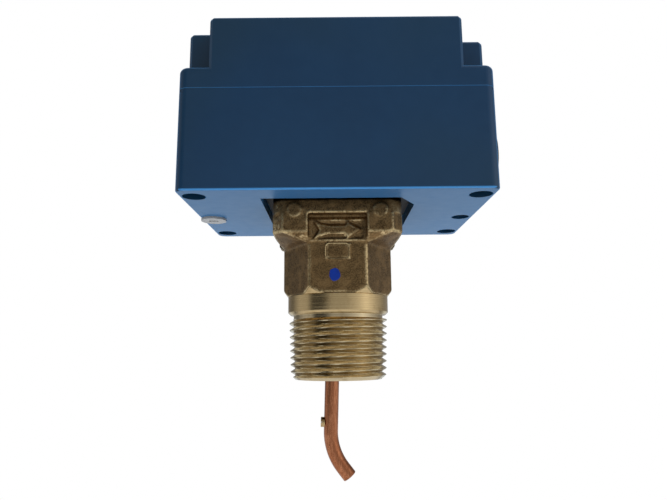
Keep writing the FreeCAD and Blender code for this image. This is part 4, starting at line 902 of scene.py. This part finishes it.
class FLOW_OT_tube(PieceOperator, bpy.types.Operator):
    """Build the bent copper paddle tube"""
    bl_idname = "flow_switch.tube"
    bl_label = "Paddle Tube"

    def execute(self, context):
        form = context.scene.flow_switch_tube
        path = self.path(form)
        (first, way), (end, tail) = path[0], path[-1]
        outer, inner, edge = form.radius, form.radius - form.wall, 0.14 * MM
        stations = [(first, way, inner + edge), (first, way, outer - edge),
                    (first + way * edge, way, outer)]
        stations += [(spot, heading, outer) for spot, heading in path[1:-1]]
        stations += [(end - tail * edge, tail, outer), (end, tail, outer - edge),
                     (end, tail, inner + edge), (end - tail * edge, tail, inner)]
        stations += [(spot, heading, inner) for spot, heading in path[-2:0:-1]]
        stations.append((first + way * edge, way, inner))
        across = Vector((0, 1, 0))
        work = bmesh.new()
        bridge(work, [[work.verts.new(spot + radius * (c * across + s * heading.cross(across)))
                       for c, s in circle(64)] for spot, heading, radius in stations],
               closed=True)
        piece = from_bmesh("copper_tube", work, finish_material(context, "copper"), smooth=40.0)
        settle(piece, "arm", "copper", "paddle_tube")
        return {"FINISHED"}

    def path(self, form):
        """Points of the tube's middle line from the top down, each with its heading."""
        straight, turns, tip = 40, 32, 6
        down = Vector((-math.sin(form.lean), 0, -math.cos(form.lean)))
        side = Vector((math.cos(form.lean), 0, -math.sin(form.lean)))
        pivot = Vector((0, 0, form.pivot))
        path = [(pivot + down * (form.top + (form.bend_start - form.top) * i / straight), down)
                for i in range(straight + 1)]
        corner = pivot + down * form.bend_start
        for i in range(1, turns + 1):
            angle = form.bend * i / turns
            shift = math.sin(angle) * down + (1 - math.cos(angle)) * side
            path.append((corner + form.bend_radius * shift,
                         math.cos(angle) * down + math.sin(angle) * side))
        last, heading = path[-1]
        return path + [(last + heading * form.tip * i / tip, heading)
                       for i in range(1, tip + 1)]


class FLOW_OT_finish(PieceOperator, bpy.types.Operator):
    """Give every part kept from the frame its finish"""
    bl_idname = "flow_switch.finish"
    bl_label = "Finishes"

    def execute(self, context):
        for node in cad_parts.values():
            for slot in node.material_slots:
                name = slot.material.name.split(".")[0]
                if name in MAKERS:
                    slot.material = finish_material(context, name)
        return {"FINISHED"}


# what the glossy rays meet: the walls' tone by bearing in degrees, with 0 towards the camera
# and 90 on its right, and the tones of the lower room by the height of the ray
WALLS = ((-180, 0.32), (-125, 0.14), (-98, 0.45), (-74, 0.42), (-60, 0.05), (-34, 0.05),
         (-14, 0.36), (18, 0.38), (45, 0.62), (66, 1.00), (98, 0.50), (130, 0.26), (180, 0.32))
TABLE = (0.66, 0.72, 0.78)
SHADED_WALL = 0.45
CEILING_WALL = 0.60
FLOOR_GLOW = (2.40, 2.30, 2.10)


class FLOW_OT_stage(PieceOperator, bpy.types.Operator):
    """Set up the floor, the studio light and the camera"""
    bl_idname = "flow_switch.stage"
    bl_label = "Stage"

    def execute(self, context):
        form = context.scene.flow_switch_stage
        self.floor(form.floor_drop)
        self.world(context)
        self.lamp(context, "key", (0.55, -0.42, 0.30), (0.30, 0.45), form.key)
        self.lamp(context, "top", (0.05, -0.10, 0.75), (0.60, 0.60), form.top)
        eye = bpy.data.cameras.new("camera")
        eye.sensor_fit = "HORIZONTAL"
        eye.sensor_width = 36.0
        eye.lens = form.focal
        eye.clip_start = 0.01
        camera = bpy.data.objects.new("camera", eye)
        camera.location = form.camera
        camera.rotation_mode = "QUATERNION"
        level = Quaternion((1, 0, 0), math.radians(90) + form.pitch)
        camera.rotation_quaternion = level @ Quaternion((0, 0, 1), form.roll)
        context.scene.collection.objects.link(camera)
        context.scene.camera = camera
        context.scene.view_settings.view_transform = "Standard"
        return {"FINISHED"}

    def floor(self, drop):
        """A pale floor that fades out round the object and glows for diffuse rays, a fill light on
        the object from below.
        """
        work = bmesh.new()
        bmesh.ops.create_grid(work, x_segments=24, y_segments=24, size=0.6)
        bmesh.ops.translate(work, verts=work.verts, vec=(0, 0, -drop))
        material, tree, shader = surface("stage_floor", Roughness=0.75,
                                         Specular_IOR_Level=0.15)
        shader.inputs["Base Color"].default_value = (0.86, 0.86, 0.86, 1)
        reach = put(tree, "ShaderNodeVectorMath", {0: millimetres(tree)},
                    operation="LENGTH").outputs["Value"]
        tree.links.new(ramp(tree, reach, 180.0, 330.0, 1.0, 0.0), shader.inputs["Alpha"])
        # The glow lights the object from below like a lamp, though the floor is none.
        diffuse_ray = put(tree, "ShaderNodeLightPath").outputs["Is Diffuse Ray"]
        glow = blend_colour(tree, diffuse_ray, (0.0, 0.0, 0.0), (1.0, 1.0, 1.0))
        tree.links.new(glow, shader.inputs["Emission Color"])
        shader.inputs["Emission Strength"].default_value = 1.0
        from_bmesh("floor", work, material)

    def lamp(self, context, name, spot, extent, power):
        """A soft lamp aimed at the object, unseen by glossy and camera rays."""
        data = bpy.data.lights.new(name, "AREA")
        data.shape = "RECTANGLE"
        data.size, data.size_y = extent
        data.energy = power
        light = bpy.data.objects.new(name, data)
        light.location = spot
        light.rotation_mode = "QUATERNION"
        aim = Vector((0, 0, 0.05)) - Vector(spot)
        light.rotation_quaternion = aim.to_track_quat("-Z", "Y")
        light.visible_glossy = light.visible_camera = False
        context.scene.collection.objects.link(light)

    def world(self, context):
        """White for the camera, a room of soft walls for glossy rays, even light otherwise."""
        world = bpy.data.worlds.new("studio")
        context.scene.world = world
        world.use_nodes = True
        tree = world.node_tree
        axes = separate(tree, put(tree, "ShaderNodeTexCoord").outputs["Generated"])
        bearing = calc(tree, "ARCTAN2", axes["X"], times(tree, axes["Y"], -1.0))
        tones = put(tree, "ShaderNodeValToRGB",
                    {"Fac": ramp(tree, bearing, -math.pi, math.pi, smooth=False)})
        stops = tones.color_ramp.elements
        while len(stops) < len(WALLS):
            stops.new(0.5)
        for stop, (degrees, tone) in zip(stops, WALLS):
            stop.position = (degrees + 180) / 360
            stop.color = (tone, tone, tone, 1)
        walls = colour = tones.outputs["Color"]
        for start, end, tone in ((-0.04, -0.14, TABLE),
                                 (-0.34, -0.46, scaled(tree, walls, SHADED_WALL)),
                                 (-0.92, -0.985, FLOOR_GLOW),
                                 (0.26, 0.42, scaled(tree, walls, CEILING_WALL))):
            colour = blend_colour(tree, ramp(tree, axes["Z"], start, end), colour, tone)
        white = tree.nodes["Background"]
        white.inputs["Color"].default_value = (1, 1, 1, 1)
        room, plain = (put(tree, "ShaderNodeBackground", {"Color": tone, "Strength": 1.0})
                       for tone in (colour, (0.62, 0.63, 0.66)))
        rays = put(tree, "ShaderNodeLightPath").outputs
        lit = put(tree, "ShaderNodeMixShader", {0: rays["Is Glossy Ray"], 1: plain.outputs[0],
                                                2: room.outputs[0]})
        seen = put(tree, "ShaderNodeMixShader", {0: rays["Is Camera Ray"], 1: lit.outputs[0],
                                                 2: white.outputs[0]})
        tree.links.new(seen.outputs[0], tree.nodes["World Output"].inputs["Surface"])


# ---- add-on

PIECES = (FLOW_OT_thread, FLOW_OT_casting, FLOW_OT_mark, FLOW_OT_seam, FLOW_OT_tube,
          FLOW_OT_finish, FLOW_OT_stage)
GROUPS = {"flow_switch_finish": FlowSwitchFinish, "flow_switch_thread": FlowSwitchThread,
          "flow_switch_casting": FlowSwitchCasting, "flow_switch_tube": FlowSwitchTube,
          "flow_switch_housing": FlowSwitchHousing, "flow_switch_stage": FlowSwitchStage}


class FLOW_PT_panel(bpy.types.Panel):
    """Lists the operators and the settings"""
    bl_idname = "FLOW_PT_panel"
    bl_label = "Flow Switch"
    bl_space_type = "VIEW_3D"
    bl_region_type = "UI"
    bl_category = "Flow Switch"

    def draw(self, context):
        for operator in PIECES:
            self.layout.operator(operator.bl_idname)
        for name in GROUPS:
            box = self.layout.box()
            settings = getattr(context.scene, name)
            for key in settings.__annotations__:
                box.prop(settings, key)


CLASSES = (*GROUPS.values(), *PIECES, FLOW_PT_panel)


def register():
    for each in CLASSES:
        bpy.utils.register_class(each)
    for name, group in GROUPS.items():
        setattr(bpy.types.Scene, name, PointerProperty(type=group))


def unregister():
    for name in GROUPS:
        delattr(bpy.types.Scene, name)
    for each in reversed(CLASSES):
        bpy.utils.unregister_class(each)


def main():
    register()
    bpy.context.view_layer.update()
    for operator in PIECES:
        getattr(bpy.ops.flow_switch, operator.bl_idname.split(".")[1])()


if __name__ == "__main__":
    main()
